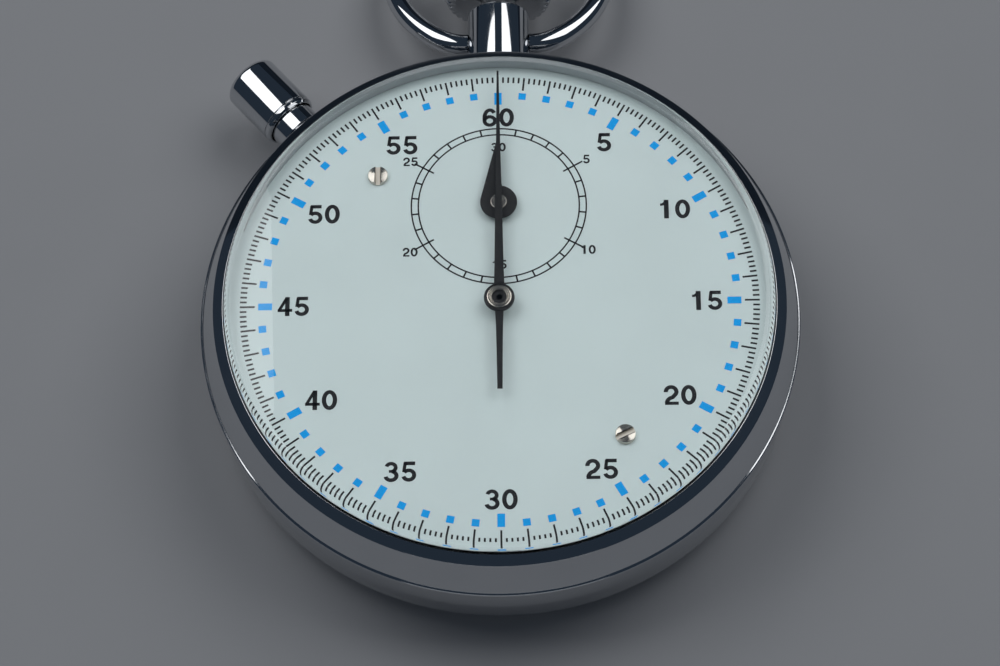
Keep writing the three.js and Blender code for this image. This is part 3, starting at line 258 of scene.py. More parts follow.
def rounded(corners, steps=6):
    """An outline from (x, y, radius) corners, each rounded.

    A corner P with unit directions a and b to its neighbours becomes the curve
    P + (1-s)^2 t a + s^2 t b for s from 0 to 1, where t = radius / tan(half the corner's angle),
    and t is at most just under half of either side.
    """
    corners = np.asarray(corners, float)
    point, r = corners[:, :2], corners[:, 2]
    back = np.roll(point, 1, 0) - point
    ahead = np.roll(point, -1, 0) - point
    back_l = np.linalg.norm(back, axis=1)
    ahead_l = np.linalg.norm(ahead, axis=1)
    back = back / back_l[:, None]
    ahead = ahead / ahead_l[:, None]
    half = 0.5 * np.arccos(np.clip((back * ahead).sum(1), -1, 1))
    reach = np.minimum(r / np.maximum(np.tan(half), 1e-6), 0.49 * np.minimum(back_l, ahead_l))
    s = np.linspace(0, 1, steps)[None, :, None]
    curve = (1 - s) ** 2 * back[:, None] + s ** 2 * ahead[:, None]
    return (point[:, None] + reach[:, None, None] * curve).reshape(-1, 2)


def quads(rows, columns):
    """Faces of a grid of points that closes on itself both ways, as rows x columns quads."""
    u, v = np.meshgrid(np.arange(rows), np.arange(columns), indexing="ij")
    u2, v2 = (u + 1) % rows, (v + 1) % columns
    return np.stack([u * columns + v, u * columns + v2, u2 * columns + v2, u2 * columns + v],
                    -1).reshape(-1, 4)


def open_grid(rows, columns):
    """Faces of a grid of points that closes on itself round its columns, with both ends shut."""
    walls = quads(rows, columns)[:(rows - 1) * columns].tolist()
    last = range((rows - 1) * columns, rows * columns)
    return walls + [list(range(columns)), list(last)[::-1]]


def lathe(profile, sides=240):
    """A closed profile of (r, z) points turned about Z: (r cos t, r sin t, z), t from 0 to 2 pi."""
    r, z = np.asarray(profile, float).T
    t = np.linspace(0, TURN, sides, endpoint=False)[:, None]
    points = np.stack([r * np.cos(t), r * np.sin(t), z + 0 * t], -1)
    return points.reshape(-1, 3), quads(sides, len(r)).tolist()


def prism(outline, levels):
    """A plate: the outline at each (z, inset) level, moved inwards along its mitred normals.

    With unit sides d before and e after a point, its inward normals are n and m, and the point
    moves by inset (n + m) / (1 + n.m). The first and last levels are closed by a face.
    """
    outline = np.asarray(outline, float)
    side = np.roll(outline, -1, 0) - outline
    side = side / np.linalg.norm(side, axis=1)[:, None]
    m = np.stack([-side[:, 1], side[:, 0]], 1)
    n = np.roll(m, 1, 0)
    mitre = (n + m) / np.maximum(1 + (n * m).sum(1), 0.2)[:, None]
    z, inset = np.asarray(levels, float).T
    flat = outline[None] + inset[:, None, None] * mitre[None]
    points = np.concatenate([flat, np.broadcast_to(z[:, None, None], flat.shape[:2] + (1,))], 2)
    count, rows = len(outline), len(z)
    return points.reshape(-1, 3), open_grid(rows, count)


def slabs(centres, sizes, turns, z0, z1):
    """Many flat boxes: corners (+-w/2, +-l/2) turned by each angle about the box's centre."""
    centres, sizes = np.asarray(centres, float), np.asarray(sizes, float)
    signs = np.array([[-1, -1], [1, -1], [1, 1], [-1, 1]]) / 2
    corner = signs[None] * sizes[:, None]
    c, s = np.cos(turns)[:, None], np.sin(turns)[:, None]
    x = centres[:, :1] + corner[..., 0] * c - corner[..., 1] * s
    y = centres[:, 1:] + corner[..., 0] * s + corner[..., 1] * c
    lower = np.stack([x, y, np.full_like(x, z0)], -1)
    upper = np.stack([x, y, np.full_like(x, z1)], -1)
    points = np.concatenate([lower, upper], 1).reshape(-1, 3)
    box = np.array([[3, 2, 1, 0], [4, 5, 6, 7], [0, 1, 5, 4], [1, 2, 6, 5], [2, 3, 7, 6],
                    [3, 0, 4, 7]])
    faces = (np.arange(len(centres))[:, None, None] * 8 + box[None]).reshape(-1, 4)
    return points, faces.tolist()


def radial(r0, r1, width, angles, z0, z1):
    """Boxes that point away from the centre, from r0 to r1, at angles clockwise from 12."""
    angles = np.asarray(angles, float)
    r = np.broadcast_to((np.asarray(r0) + np.asarray(r1)) / 2, angles.shape)
    long = np.broadcast_to(np.asarray(r1) - np.asarray(r0), angles.shape)
    centres = np.stack([r * np.sin(angles), r * np.cos(angles)], 1)
    sizes = np.stack([np.full_like(long, width), long], 1)
    return slabs(centres, sizes, -angles, z0, z1)


def joined(*parts):
    """Several (points, faces) parts as one."""
    points, faces, start = [], [], 0
    for p, f in parts:
        points.append(np.asarray(p))
        faces += [[i + start for i in face] for face in f]
        start += len(p)
    return np.concatenate(points), faces


def coil(r, wire, z0, z1, turns):
    """A round wire carried along a helix: centre r (cos t, sin t), height even in t."""
    t = np.linspace(0, turns * TURN, turns * 36 + 1)[:, None]
    a = np.linspace(0, TURN, 12, endpoint=False)[None]
    out = r + wire * np.cos(a)
    z = z0 + (z1 - z0) * t / t[-1] + wire * np.sin(a)
    points = np.stack([out * np.cos(t), out * np.sin(t), z], -1)
    return points.reshape(-1, 3), open_grid(len(t), a.size)


def shifted(part, offset):
    """A part moved by an offset."""
    return part[0] + np.asarray(offset), part[1]


def along_crown(part):
    """Z of a part laid along the crown's axis: (x, y, z) goes to (x, z, axis height - y)."""
    x, y, z = part[0].T
    return np.stack([x, z, AXIS_Z - y], 1), part[1]


def along_pusher(part):
    """Z of a part laid along the pusher's axis: along the crown's, then turned about Z."""
    x, y, z = along_crown(part)[0].T
    c, s = math.cos(PUSH_TURN), math.sin(PUSH_TURN)
    return np.stack([x * c - y * s, x * s + y * c, z], 1), part[1]


def piece(name, part, body, material, replaces=(), sharp=32):
    """A mesh object from points and faces: doubles merged, faces outwards, riding on its body."""
    points, faces = part
    mesh = bpy.data.meshes.new(name)
    mesh.from_pydata(points.tolist(), [], faces)
    bm = bmesh.new()
    bm.from_mesh(mesh)
    bmesh.ops.remove_doubles(bm, verts=bm.verts, dist=2e-7)
    bmesh.ops.dissolve_degenerate(bm, edges=bm.edges, dist=1e-8)
    bmesh.ops.delete(bm, geom=[e for e in bm.edges if not e.link_faces], context="EDGES")
    bmesh.ops.recalc_face_normals(bm, faces=bm.faces)
    bm.to_mesh(mesh)
    bm.free()
    mesh.shade_smooth()
    mesh.set_sharp_from_angle(angle=math.radians(sharp))
    made = bpy.data.objects.new(name, mesh)
    bpy.context.scene.collection.objects.link(made)
    made.data.materials.append(material)
    if replaces:
        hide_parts(*replaces)
    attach(made, body)
    return made


# ---------------------------------------------------------------- finishes

class Nodes:
    """A material's node tree, built from its surface shader backwards."""

    def __init__(self, name, **inputs):
        self.material = bpy.data.materials.new(name)
        self.material.use_nodes = True
        self.tree = self.material.node_tree
        self.shader = self.tree.nodes["Principled BSDF"]
        self.output = self.tree.nodes["Material Output"]
        self.place = self.add("ShaderNodeTexCoord").outputs["Object"]
        for key, value in inputs.items():
            self.shader.inputs[key.replace("_", " ")].default_value = value

    def add(self, kind, links=(), **values):
        node = self.tree.nodes.new(kind)
        for key, value in values.items():
            if key in node.inputs:
                node.inputs[key].default_value = value
            else:
                setattr(node, key, value)
        for key, socket in dict(links).items():
            self.tree.links.new(socket, node.inputs[key])
        return node

    def stretched(self, scale):
        """Object coordinates, scaled along each axis."""
        return self.add("ShaderNodeMapping", {"Vector": self.place}, Scale=scale).outputs[0]

    def noise(self, scale, detail=3.0, rough=0.5, place=None):
        """Noise value with features about 1/scale metres wide."""
        node = self.add("ShaderNodeTexNoise", {"Vector": place or self.place}, Scale=scale,
                        Detail=detail, Roughness=rough)
        return node.outputs[0]

    def spread(self, value, low_value, high_value, start=0.3, end=0.7):
        """A value from start to end, spread from low_value to high_value."""
        node = self.add("ShaderNodeMapRange", {"Value": value})
        for key, number in zip(("From Min", "From Max", "To Min", "To Max"),
                               (start, end, low_value, high_value)):
            node.inputs[key].default_value = number
        return node.outputs[0]

    def tint(self, value, dark, light):
        """A colour between dark and light."""
        node = self.add("ShaderNodeMix", data_type="RGBA")
        self.tree.links.new(value, node.inputs[0])
        node.inputs[6].default_value = (*dark, 1)
        node.inputs[7].default_value = (*light, 1)
        return node.outputs[2]

    def set(self, socket, value):
        self.tree.links.new(value, self.shader.inputs[socket])

    def bump(self, height, strength, depth):
        node = self.add("ShaderNodeBump", {"Height": height}, Strength=strength, Distance=depth)
        self.set("Normal", node.outputs[0])


def shade(value, factor):
    """A colour made lighter or darker."""
    return tuple(min(1.0, c * factor) for c in value)


def plated_metal(name, value, rough, wear=0.03):
    """Plated metal: even colour, roughness that wanders a little, and fine handling marks."""
    n = Nodes(name, Metallic=1.0)
    n.set("Base Color", n.tint(n.noise(140.0), shade(value, 0.94), shade(value, 1.04)))
    marks = n.noise(2600.0, 4.0, 0.7, n.stretched((1.0, 1.0, 0.35)))
    n.set("Roughness", n.spread(n.noise(420.0, 5.0, 0.6), rough, rough + wear, 0.35, 0.75))
    n.bump(marks, 0.06, 0.004 * MM)
    return n.material


def ground_metal(name, value, rough, grain):
    """Ground or lapped metal: short streaks along X in colour, gloss and height."""
    n = Nodes(name, Metallic=1.0)
    streaks = n.noise(1.0, 4.0, 0.6, n.stretched((grain * 0.06, grain, grain * 0.3)))
    n.set("Base Color", n.tint(streaks, shade(value, 0.85), shade(value, 1.1)))
    n.set("Roughness", n.spread(streaks, rough, rough + 0.14))
    n.bump(streaks, 0.15, 0.006 * MM)
    return n.material


def turned_metal(name, value, rough):
    """Nickel faced on a lathe: fine rings about Z in gloss and height."""
    n = Nodes(name, Metallic=1.0)
    rings = n.add("ShaderNodeTexWave", {"Vector": n.place}, wave_type="RINGS",
                  rings_direction="Z", Scale=2200.0, Distortion=1.2, Detail=2.0).outputs[1]
    n.set("Base Color", n.tint(n.noise(300.0), shade(value, 0.9), shade(value, 1.08)))
    n.set("Roughness", n.spread(rings, rough, rough + 0.1, 0.0, 1.0))
    n.bump(rings, 0.08, 0.004 * MM)
    return n.material


def painted(name, value, rough, speckle, gloss=0.5, peel=0.05):
    """Paint, print or rubber: faint mottling, gloss that wanders and a fine orange peel."""
    n = Nodes(name)
    n.shader.inputs["Specular IOR Level"].default_value = gloss
    n.set("Base Color", n.tint(n.noise(speckle, 4.0), shade(value, 0.93), shade(value, 1.05)))
    n.set("Roughness", n.spread(n.noise(speckle * 3, 3.0), rough, rough + 0.1))
    n.bump(n.noise(speckle * 12, 2.0), peel, 0.003 * MM)
    return n.material


def clear_acrylic(name, value):
    """Clear acrylic that bends light, and lets the lamps through to what is behind it."""
    n = Nodes(name, Roughness=0.0, IOR=1.49)
    n.shader.inputs["Base Color"].default_value = (*value, 1)
    n.shader.inputs["Transmission Weight"].default_value = 1.0
    n.shader.inputs["Specular IOR Level"].default_value = 0.85
    n.set("Roughness", n.spread(n.noise(900.0, 4.0), 0.0, 0.012, 0.5, 0.9))
    through = n.add("ShaderNodeBsdfTransparent", Color=(*shade(value, 0.97), 1))
    ray = n.add("ShaderNodeLightPath")
    mix = n.add("ShaderNodeMixShader", {0: ray.outputs["Is Shadow Ray"]})
    n.tree.links.new(n.shader.outputs[0], mix.inputs[1])
    n.tree.links.new(through.outputs[0], mix.inputs[2])
    n.tree.links.new(mix.outputs[0], n.output.inputs["Surface"])
    return n.material


def table_top(name, value):
    """A plain matt table with a faint grain."""
    n = Nodes(name, Roughness=0.75)
    n.shader.inputs["Specular IOR Level"].default_value = 0.2
    n.set("Base Color", n.tint(n.noise(60.0, 6.0, 0.6), shade(value, 0.97), shade(value, 1.03)))
    n.bump(n.noise(1500.0, 3.0), 0.1, 0.02 * MM)
    return n.material


def finish(name):
    """A finish by its name, made the first time it is asked for."""
    if name in bpy.data.materials:
        return bpy.data.materials[name]
    look = bpy.context.scene.stopwatch_finishes
    makers = {
        "chrome plate": lambda: plated_metal(name, look.chrome, 0.035),
        "case chrome": lambda: plated_metal(name, look.chrome, 0.06, 0.05),
        "ground steel": lambda: ground_metal(name, look.steel, 0.28, 9000.0),
        "satin ring": lambda: painted(name, look.ring, 0.35, 300.0),
        # slot floor: rough nickel whose colour is lightened by 1.15 as a painted highlight, so that the slot shows
        # as a bright line
        "frosted nickel with painted highlight": lambda: turned_metal(name, shade(look.nickel, 1.15), 0.5),
        "bright nickel": lambda: turned_metal(name, look.nickel, 0.12),
        "lapped brass": lambda: ground_metal(name, look.brass, 0.22, 7000.0),
        "blued steel": lambda: plated_metal(name, look.blued, 0.16),
        "nitrile rubber": lambda: painted(name, look.rubber, 0.55, 900.0),
        "black lacquer": lambda: painted(name, look.lacquer, 0.3, 500.0, 0.4, 0.01),
        "dial paint": lambda: painted(name, look.enamel, 0.42, 90.0),
        "black ink": lambda: painted(name, look.black_ink, 0.5, 1200.0, 0.2),
        "blue ink": lambda: painted(name, look.blue_ink, 0.5, 1200.0, 0.2),
        "clear acrylic": lambda: clear_acrylic(name, look.crystal),
        "table": lambda: table_top(name, look.table),
    }
    return makers[name]()


FINISH_OF_SLOT = {
    "chrome": "chrome plate",
    "acrylic": "clear acrylic",
    "polished_steel": "ground steel",
    "rubber": "nitrile rubber",
    "dial_enamel": "dial paint",
    "nickel": "bright nickel",
    "blued_steel": "blued steel",
    "black_paint": "black lacquer",
    "brass": "lapped brass",
}


# ---------------------------------------------------------------- pieces

class StopwatchOperator(bpy.types.Operator):
    """Shared by the operators below"""
    bl_options = {"REGISTER", "UNDO"}

    def execute(self, context):
        self.make(context.scene)
        return {"FINISHED"}


class STOPWATCH_OT_case(StopwatchOperator):
    """Make the middle case, the back and the bezel"""
    bl_idname = "stopwatch.case"
    bl_label = "Case"

    def make(self, scene):
        s = scene.stopwatch_case
        chrome = finish("case chrome")
        wall, top = low("middle_case")[2], high("middle_case")[2]
        bore = radius("mainplate") + 0.1 * MM
        side = radius("middle_case")
        upstand = s.bevel_bore - 0.15 * MM
        middle_case = rounded([
            (bore, wall, 0), (side - 0.93 * MM, wall, 0.1 * MM),
            (side - 0.45 * MM, wall + 0.62 * MM, 1.0 * MM),
            (side - 0.19 * MM, wall + 1.45 * MM, 2.0 * MM),
            (side - 0.02 * MM, SEAM_Z - 2.6 * MM, 6.0 * MM),
            (side - 0.04 * MM, SEAM_Z - 0.28 * MM, 0.3 * MM),
            (side - 0.45 * MM, SEAM_Z - 0.15 * MM, 0.1 * MM),
            (upstand, SEAM_Z - 0.15 * MM, 0), (upstand, top, 0), (bore, top, 0)], 12)
        piece("middle_case_shell", lathe(middle_case), "case", chrome,
              ["middle_case"])

        lip = SEAM_Z + s.lip_h
        bezel = rounded([
            (s.bevel_bore, SEAM_Z + 0.02 * MM, 0),
            (CASE_R - 0.22 * MM, SEAM_Z + 0.02 * MM, 0.1 * MM),
            (CASE_R, SEAM_Z + 0.12 * MM, 0.2 * MM), (CASE_R, lip - 0.02 * MM, 0.2 * MM),
            (CASE_R - 0.24 * MM, lip + 0.08 * MM, 0.08 * MM),
            (s.cone_top_r, s.cone_top_z, 0.1 * MM),
            (s.bevel_bore, high("bezel")[2], 0.05 * MM)], 10)
        piece("bezel_ring", lathe(bezel), "case", chrome, ["bezel"])

        flat, groove = s.back_flat_r, 0.12 * MM
        lift = low("case_back")[2]
        rim = radius("case_back")
        lid, inside = radius("mainplate") - 0.9 * MM, high("case_back")[2]
        back = rounded([
            (0, lift, 0), (flat - 0.6 * MM, lift, 0.1 * MM),
            (flat - 0.45 * MM, lift + groove, 0.05 * MM),
            (flat - 0.15 * MM, lift + groove, 0.05 * MM), (flat, lift, 0.1 * MM),
            (flat + 0.9 * MM, lift, 2.0 * MM), (rim - 0.9 * MM, lift + 0.9 * MM, 3.0 * MM),
            (rim, wall - 0.4 * MM, 0.5 * MM), (rim, wall - 0.05 * MM, 0.05 * MM),
            (lid, wall - 0.05 * MM, 0), (lid, inside, 0),
            (lid - 0.5 * MM, inside, 0), (lid - 0.5 * MM, lift + 1.3 * MM, 0.3 * MM),
            (lid - 1.5 * MM, lift + 1.0 * MM, 0.3 * MM), (0, lift + 1.0 * MM, 0)], 8)
        piece("case_back_lid", lathe(back), "case", chrome, ["case_back"])


class STOPWATCH_OT_crystal(StopwatchOperator):
    """Make the crystal and the ring round the dial"""
    bl_idname = "stopwatch.crystal"
    bl_label = "Crystal"

    def make(self, scene):
        """Under and top are parabolas in r, and the shoulder is a quarter of an ellipse."""
        s = scene.stopwatch_case
        edge = CRYSTAL_R - s.rehaut_w - 0.3 * MM
        top_r = CRYSTAL_R - s.shoulder_w
        bottom, crown = low("crystal")[2], high("crystal")[2]
        bezel_top = high("bezel")[2]
        share = np.linspace(0, 1, 24)
        under_z = bottom + (crown - s.crystal_t - bottom) * (1 - share ** 2)
        quarter = np.linspace(0, TURN / 4, 20)
        shoulder = np.stack([top_r + s.shoulder_w * np.cos(quarter),
                             bezel_top + s.shoulder_h * np.sin(quarter)], 1)
        shoulder_z = bezel_top + s.shoulder_h
        top = np.stack([top_r * share[::-1],
                        shoulder_z + (crown - shoulder_z) * (1 - share[::-1] ** 2)], 1)
        profile = np.concatenate([np.stack([edge * share, under_z], 1),
                                  [[CRYSTAL_R, bottom], [CRYSTAL_R, bottom + 0.2 * MM]],
                                  shoulder, top[1:]])
        piece("crystal_dome", lathe(profile, 320), "case", finish("clear acrylic"),
              ["crystal"], sharp=50)

        base, rim = low("rehaut_ring")[2], high("rehaut_ring")[2]
        bore = CRYSTAL_R - s.rehaut_w
        ring = rounded([(bore, base, 0.03 * MM), (CRYSTAL_R, base, 0.03 * MM),
                        (CRYSTAL_R, rim, 0.05 * MM), (bore, rim, 0.06 * MM)])
        piece("dial_ring", lathe(ring), "case", finish("satin ring"),
              ["rehaut_ring"])


class STOPWATCH_OT_dial_print(StopwatchOperator):
    """Print the ticks, the blue marks, the register and the numerals on the dial"""
    bl_idname = "stopwatch.dial_print"
    bl_label = "Dial print"

    def make(self, scene):
        s = scene.stopwatch_dial
        black, blue = finish("black ink"), finish("blue ink")
        z0, z1 = DIAL_TOP, DIAL_TOP + s.print_t
        count = 5 * 60
        fifths = np.arange(count)
        long = np.where(fifths % 5 == 0, s.tick_long, s.tick_short)
        ticks = radial(s.tick_out - long, s.tick_out, s.tick_w, fifths * TURN / count, z0, z1)
        piece("seconds_ticks", ticks, "case", black)
        seconds = np.arange(60)
        fives = seconds % 5 == 0
        reach = np.where(fives, s.bar_l, s.mark_w) / 2
        at = np.where(fives, s.bar_r, s.mark_r)
        marks = radial(at - reach, at + reach, s.mark_w, seconds * TURN / 60, z0, z1)
        piece("blue_marks", marks, "case", blue)

        def line(r):
            half = s.line_w / 2
            return lathe([(r - half, z0), (r + half, z0), (r + half, z1), (r - half, z1)], 180)

        minutes = np.arange(30)
        crossed = (minutes % 5 == 0) & (minutes % 15 != 0)
        plain = radial(s.register_in, s.register_out, s.minute_w, minutes * TURN / 30, z0, z1)
        crosses = radial(s.cross_in, s.cross_out, s.minute_w, minutes[crossed] * TURN / 30, z0, z1)
        track = joined(line(s.register_out), line(s.register_in), plain, crosses)
        piece("register_track", shifted(track, (0, REGISTER_Y, 0)), "case", black)

        for second in range(5, 65, 5):
            t = second * TURN / 60
            x, y = NUMERAL_PLACES[min(second % 30, 30 - second % 30) // 5]
            aside = SINGLE_DIGIT_ASIDE if second < 10 else 0.0
            at = (math.copysign(x, math.sin(t)) + aside, math.copysign(y, math.cos(t)))
            numeral("numeral_%d" % second, str(second), s.numeral_h, at, z0, s.print_t, black)
        near, far = REGISTER_NUMERALS
        for minute in range(5, 35, 5):
            t = minute * TURN / 30
            at = near if minute % 15 == 0 else far
            numeral("register_numeral_%d" % minute, str(minute), s.small_h,
                    (at * math.sin(t), REGISTER_Y + at * math.cos(t)), z0, s.print_t, black)


def arc(centre, radii, start, end, count=28):
    """Points on an ellipse from one angle to another, in degrees, anticlockwise if end > start."""
    t = np.radians(np.linspace(start, end, count))
    return np.stack([centre[0] + radii[0] * np.cos(t), centre[1] + radii[1] * np.sin(t)], 1)


def swept(path, across, up, closed=False):
    """A section carried along a flat path, square to it.

    At each path point P with unit direction d and its left normal n, the section's points are
    P + across n, at height up. across and up have a row for each path point, or one row for all.
    """
    path = np.asarray(path, float)
    along = np.roll(path, -1, 0) - np.roll(path, 1, 0) if closed else np.gradient(path, axis=0)
    along = along / np.linalg.norm(along, axis=1)[:, None]
    left = np.stack([-along[:, 1], along[:, 0]], 1)
    across, up = np.broadcast_arrays(np.atleast_2d(across), np.atleast_2d(up))
    rows, sides = len(path), across.shape[1]
    across = np.broadcast_to(across, (rows, sides))
    up = np.broadcast_to(up, (rows, sides))
    flat = path[:, None] + left[:, None] * across[..., None]
    points = np.concatenate([flat, up[..., None]], 2).reshape(-1, 3)
    return points, quads(rows, sides).tolist() if closed else open_grid(rows, sides)


def stroke(path, width, closed=False):
    """A flat stroke of unit thickness along a path."""
    half = width / 2
    return swept(path, [-half, half, half, -half], [0.0, 0.0, 1.0, 1.0], closed)


# centres of the seconds numerals in the first quarter, from 12 to 3; the others mirror them
NUMERAL_PLACES = (
    (0.0, 19.3 * MM), (8.95 * MM, 16.5 * MM), (16.1 * MM, 9.4 * MM), (18.75 * MM, 0.0))
SINGLE_DIGIT_ASIDE = 0.85 * MM
REGISTER_NUMERALS = (6.1 * MM, 9.4 * MM)   # from the register's middle: at 15 and 30, and elsewhere

# shares of a numeral's height
STEM_W = 0.22                 # width of an upright stem
DIGIT_W = 0.69                # width of one digit
DIGIT_STEP = 0.775            # from one digit to the next
BROAD = 1.05                  # how much wider than their plain form the digits are drawn


def digit(mark):
    """Strokes of one digit, one unit high, in plain bold letterforms."""
    if mark == "0":
        return [stroke(arc((0.345, 0.5), (0.245, 0.41), 0, 354, 60), 0.195, True)]
    if mark == "1":
        flag = np.concatenate([[[0.1, 0.745]], arc((0.14, 0.97), (0.2, 0.225), 270, 350, 12)])
        return [stroke([[0.38, 0.0], [0.38, 1.0]], STEM_W), stroke(flag, 0.13)]
    if mark == "2":
        top = np.concatenate([arc((0.34, 0.675), (0.235, 0.24), 185, -30),
                              arc((0.42, 0.05), (0.285, 0.33), 95, 172, 16)])
        return [stroke(top, 0.19), stroke([[0.055, 0.08], [0.665, 0.08]], 0.16)]
    if mark == "3":
        return [stroke(arc((0.335, 0.715), (0.205, 0.2), 165, -80), 0.175),
                stroke(arc((0.335, 0.3), (0.24, 0.22), 80, -170), 0.185),
                stroke([[0.24, 0.525], [0.37, 0.525]], 0.14)]
    if mark == "4":
        return [stroke([[0.47, 0.0], [0.47, 1.0]], STEM_W - 0.015),
                stroke([[0.43, 0.93], [0.1, 0.3]], 0.14),
                stroke([[0.035, 0.295], [0.69, 0.295]], 0.15)]
    if mark == "5":
        return [stroke([[0.135, 0.915], [0.625, 0.915]], 0.18),
                stroke([[0.185, 0.96], [0.125, 0.475]], 0.15),
                stroke(arc((0.34, 0.325), (0.24, 0.24), 145, -165), 0.185)]
    if mark == "6":
        stem = np.concatenate([arc((0.355, 0.5), (0.25, 0.415), 38, 180), [[0.105, 0.33]]])
        return [stroke(arc((0.345, 0.315), (0.24, 0.23), 0, 354, 48), 0.18, True),
                stroke(stem, 0.185)]
    raise ValueError(mark)


def numeral(name, text, height, centre, z, thick, material):
    """An upright numeral of a given height, centred on a point of the dial."""
    strokes = [shifted(part, (i * DIGIT_STEP, 0, 0))
               for i, mark in enumerate(text) for part in digit(mark)]
    points, faces = joined(*strokes)
    wide = DIGIT_STEP * (len(text) - 1) + DIGIT_W
    points = (points - (wide / 2, 0.5, 0)) * (height * BROAD, height, thick) + (*centre, z)
    piece(name, (points, faces), "case", material)


def rim_arc(r, start, end, count):
    """Points on a circle about the origin from one angle to another, anticlockwise."""
    t = np.linspace(start, end, count)
    return np.stack([r * np.cos(t), r * np.sin(t)], 1)


class STOPWATCH_OT_dial_screws(StopwatchOperator):
    """Make the heads of the two dial screws"""
    bl_idname = "stopwatch.dial_screws"
    bl_label = "Dial screws"

    def make(self, scene):
        """A base disc under two halves, each the part of a disc to one side of the slot."""
        nickel = finish("bright nickel")
        for side, turn in (("left", TURN / 4), ("right", math.radians(26))):
            node = "dial_screw_" + side
            x, y, _ = middle(node)
            top = high(node)[2]
            r = radius(node)
            half_slot, shank, slot_z = 0.185 * MM, 0.4 * MM, DIAL_TOP + 0.12 * MM
            open_angle = math.asin(half_slot / r)
            base = lathe([(0, low(node)[2]), (shank, low(node)[2]), (shank, DIAL_TOP),
                          (r, DIAL_TOP), (r, slot_z), (0, slot_z)], 48)
            halves = []
            for facing in (0, TURN / 2):
                outline = rim_arc(r, open_angle + facing, TURN / 2 - open_angle + facing, 30)
                c, s = math.cos(turn), math.sin(turn)
                outline = outline @ np.array([[c, s], [-s, c]])
                halves.append(prism(outline, [(DIAL_TOP + 0.1 * MM, 0), (top - 0.1 * MM, 0),
                                              (top - 0.03 * MM, 0.04 * MM), (top, 0.12 * MM)]))
            piece(node + "_head", shifted(joined(*halves), (x, y, 0)), "case", nickel,
                  [node])
            # the base disc is the floor of the slot: rough nickel, its colour lightened as a painted highlight
            piece(node + "_slot", shifted(base, (x, y, 0)), "case",
                  finish("frosted nickel with painted highlight"))


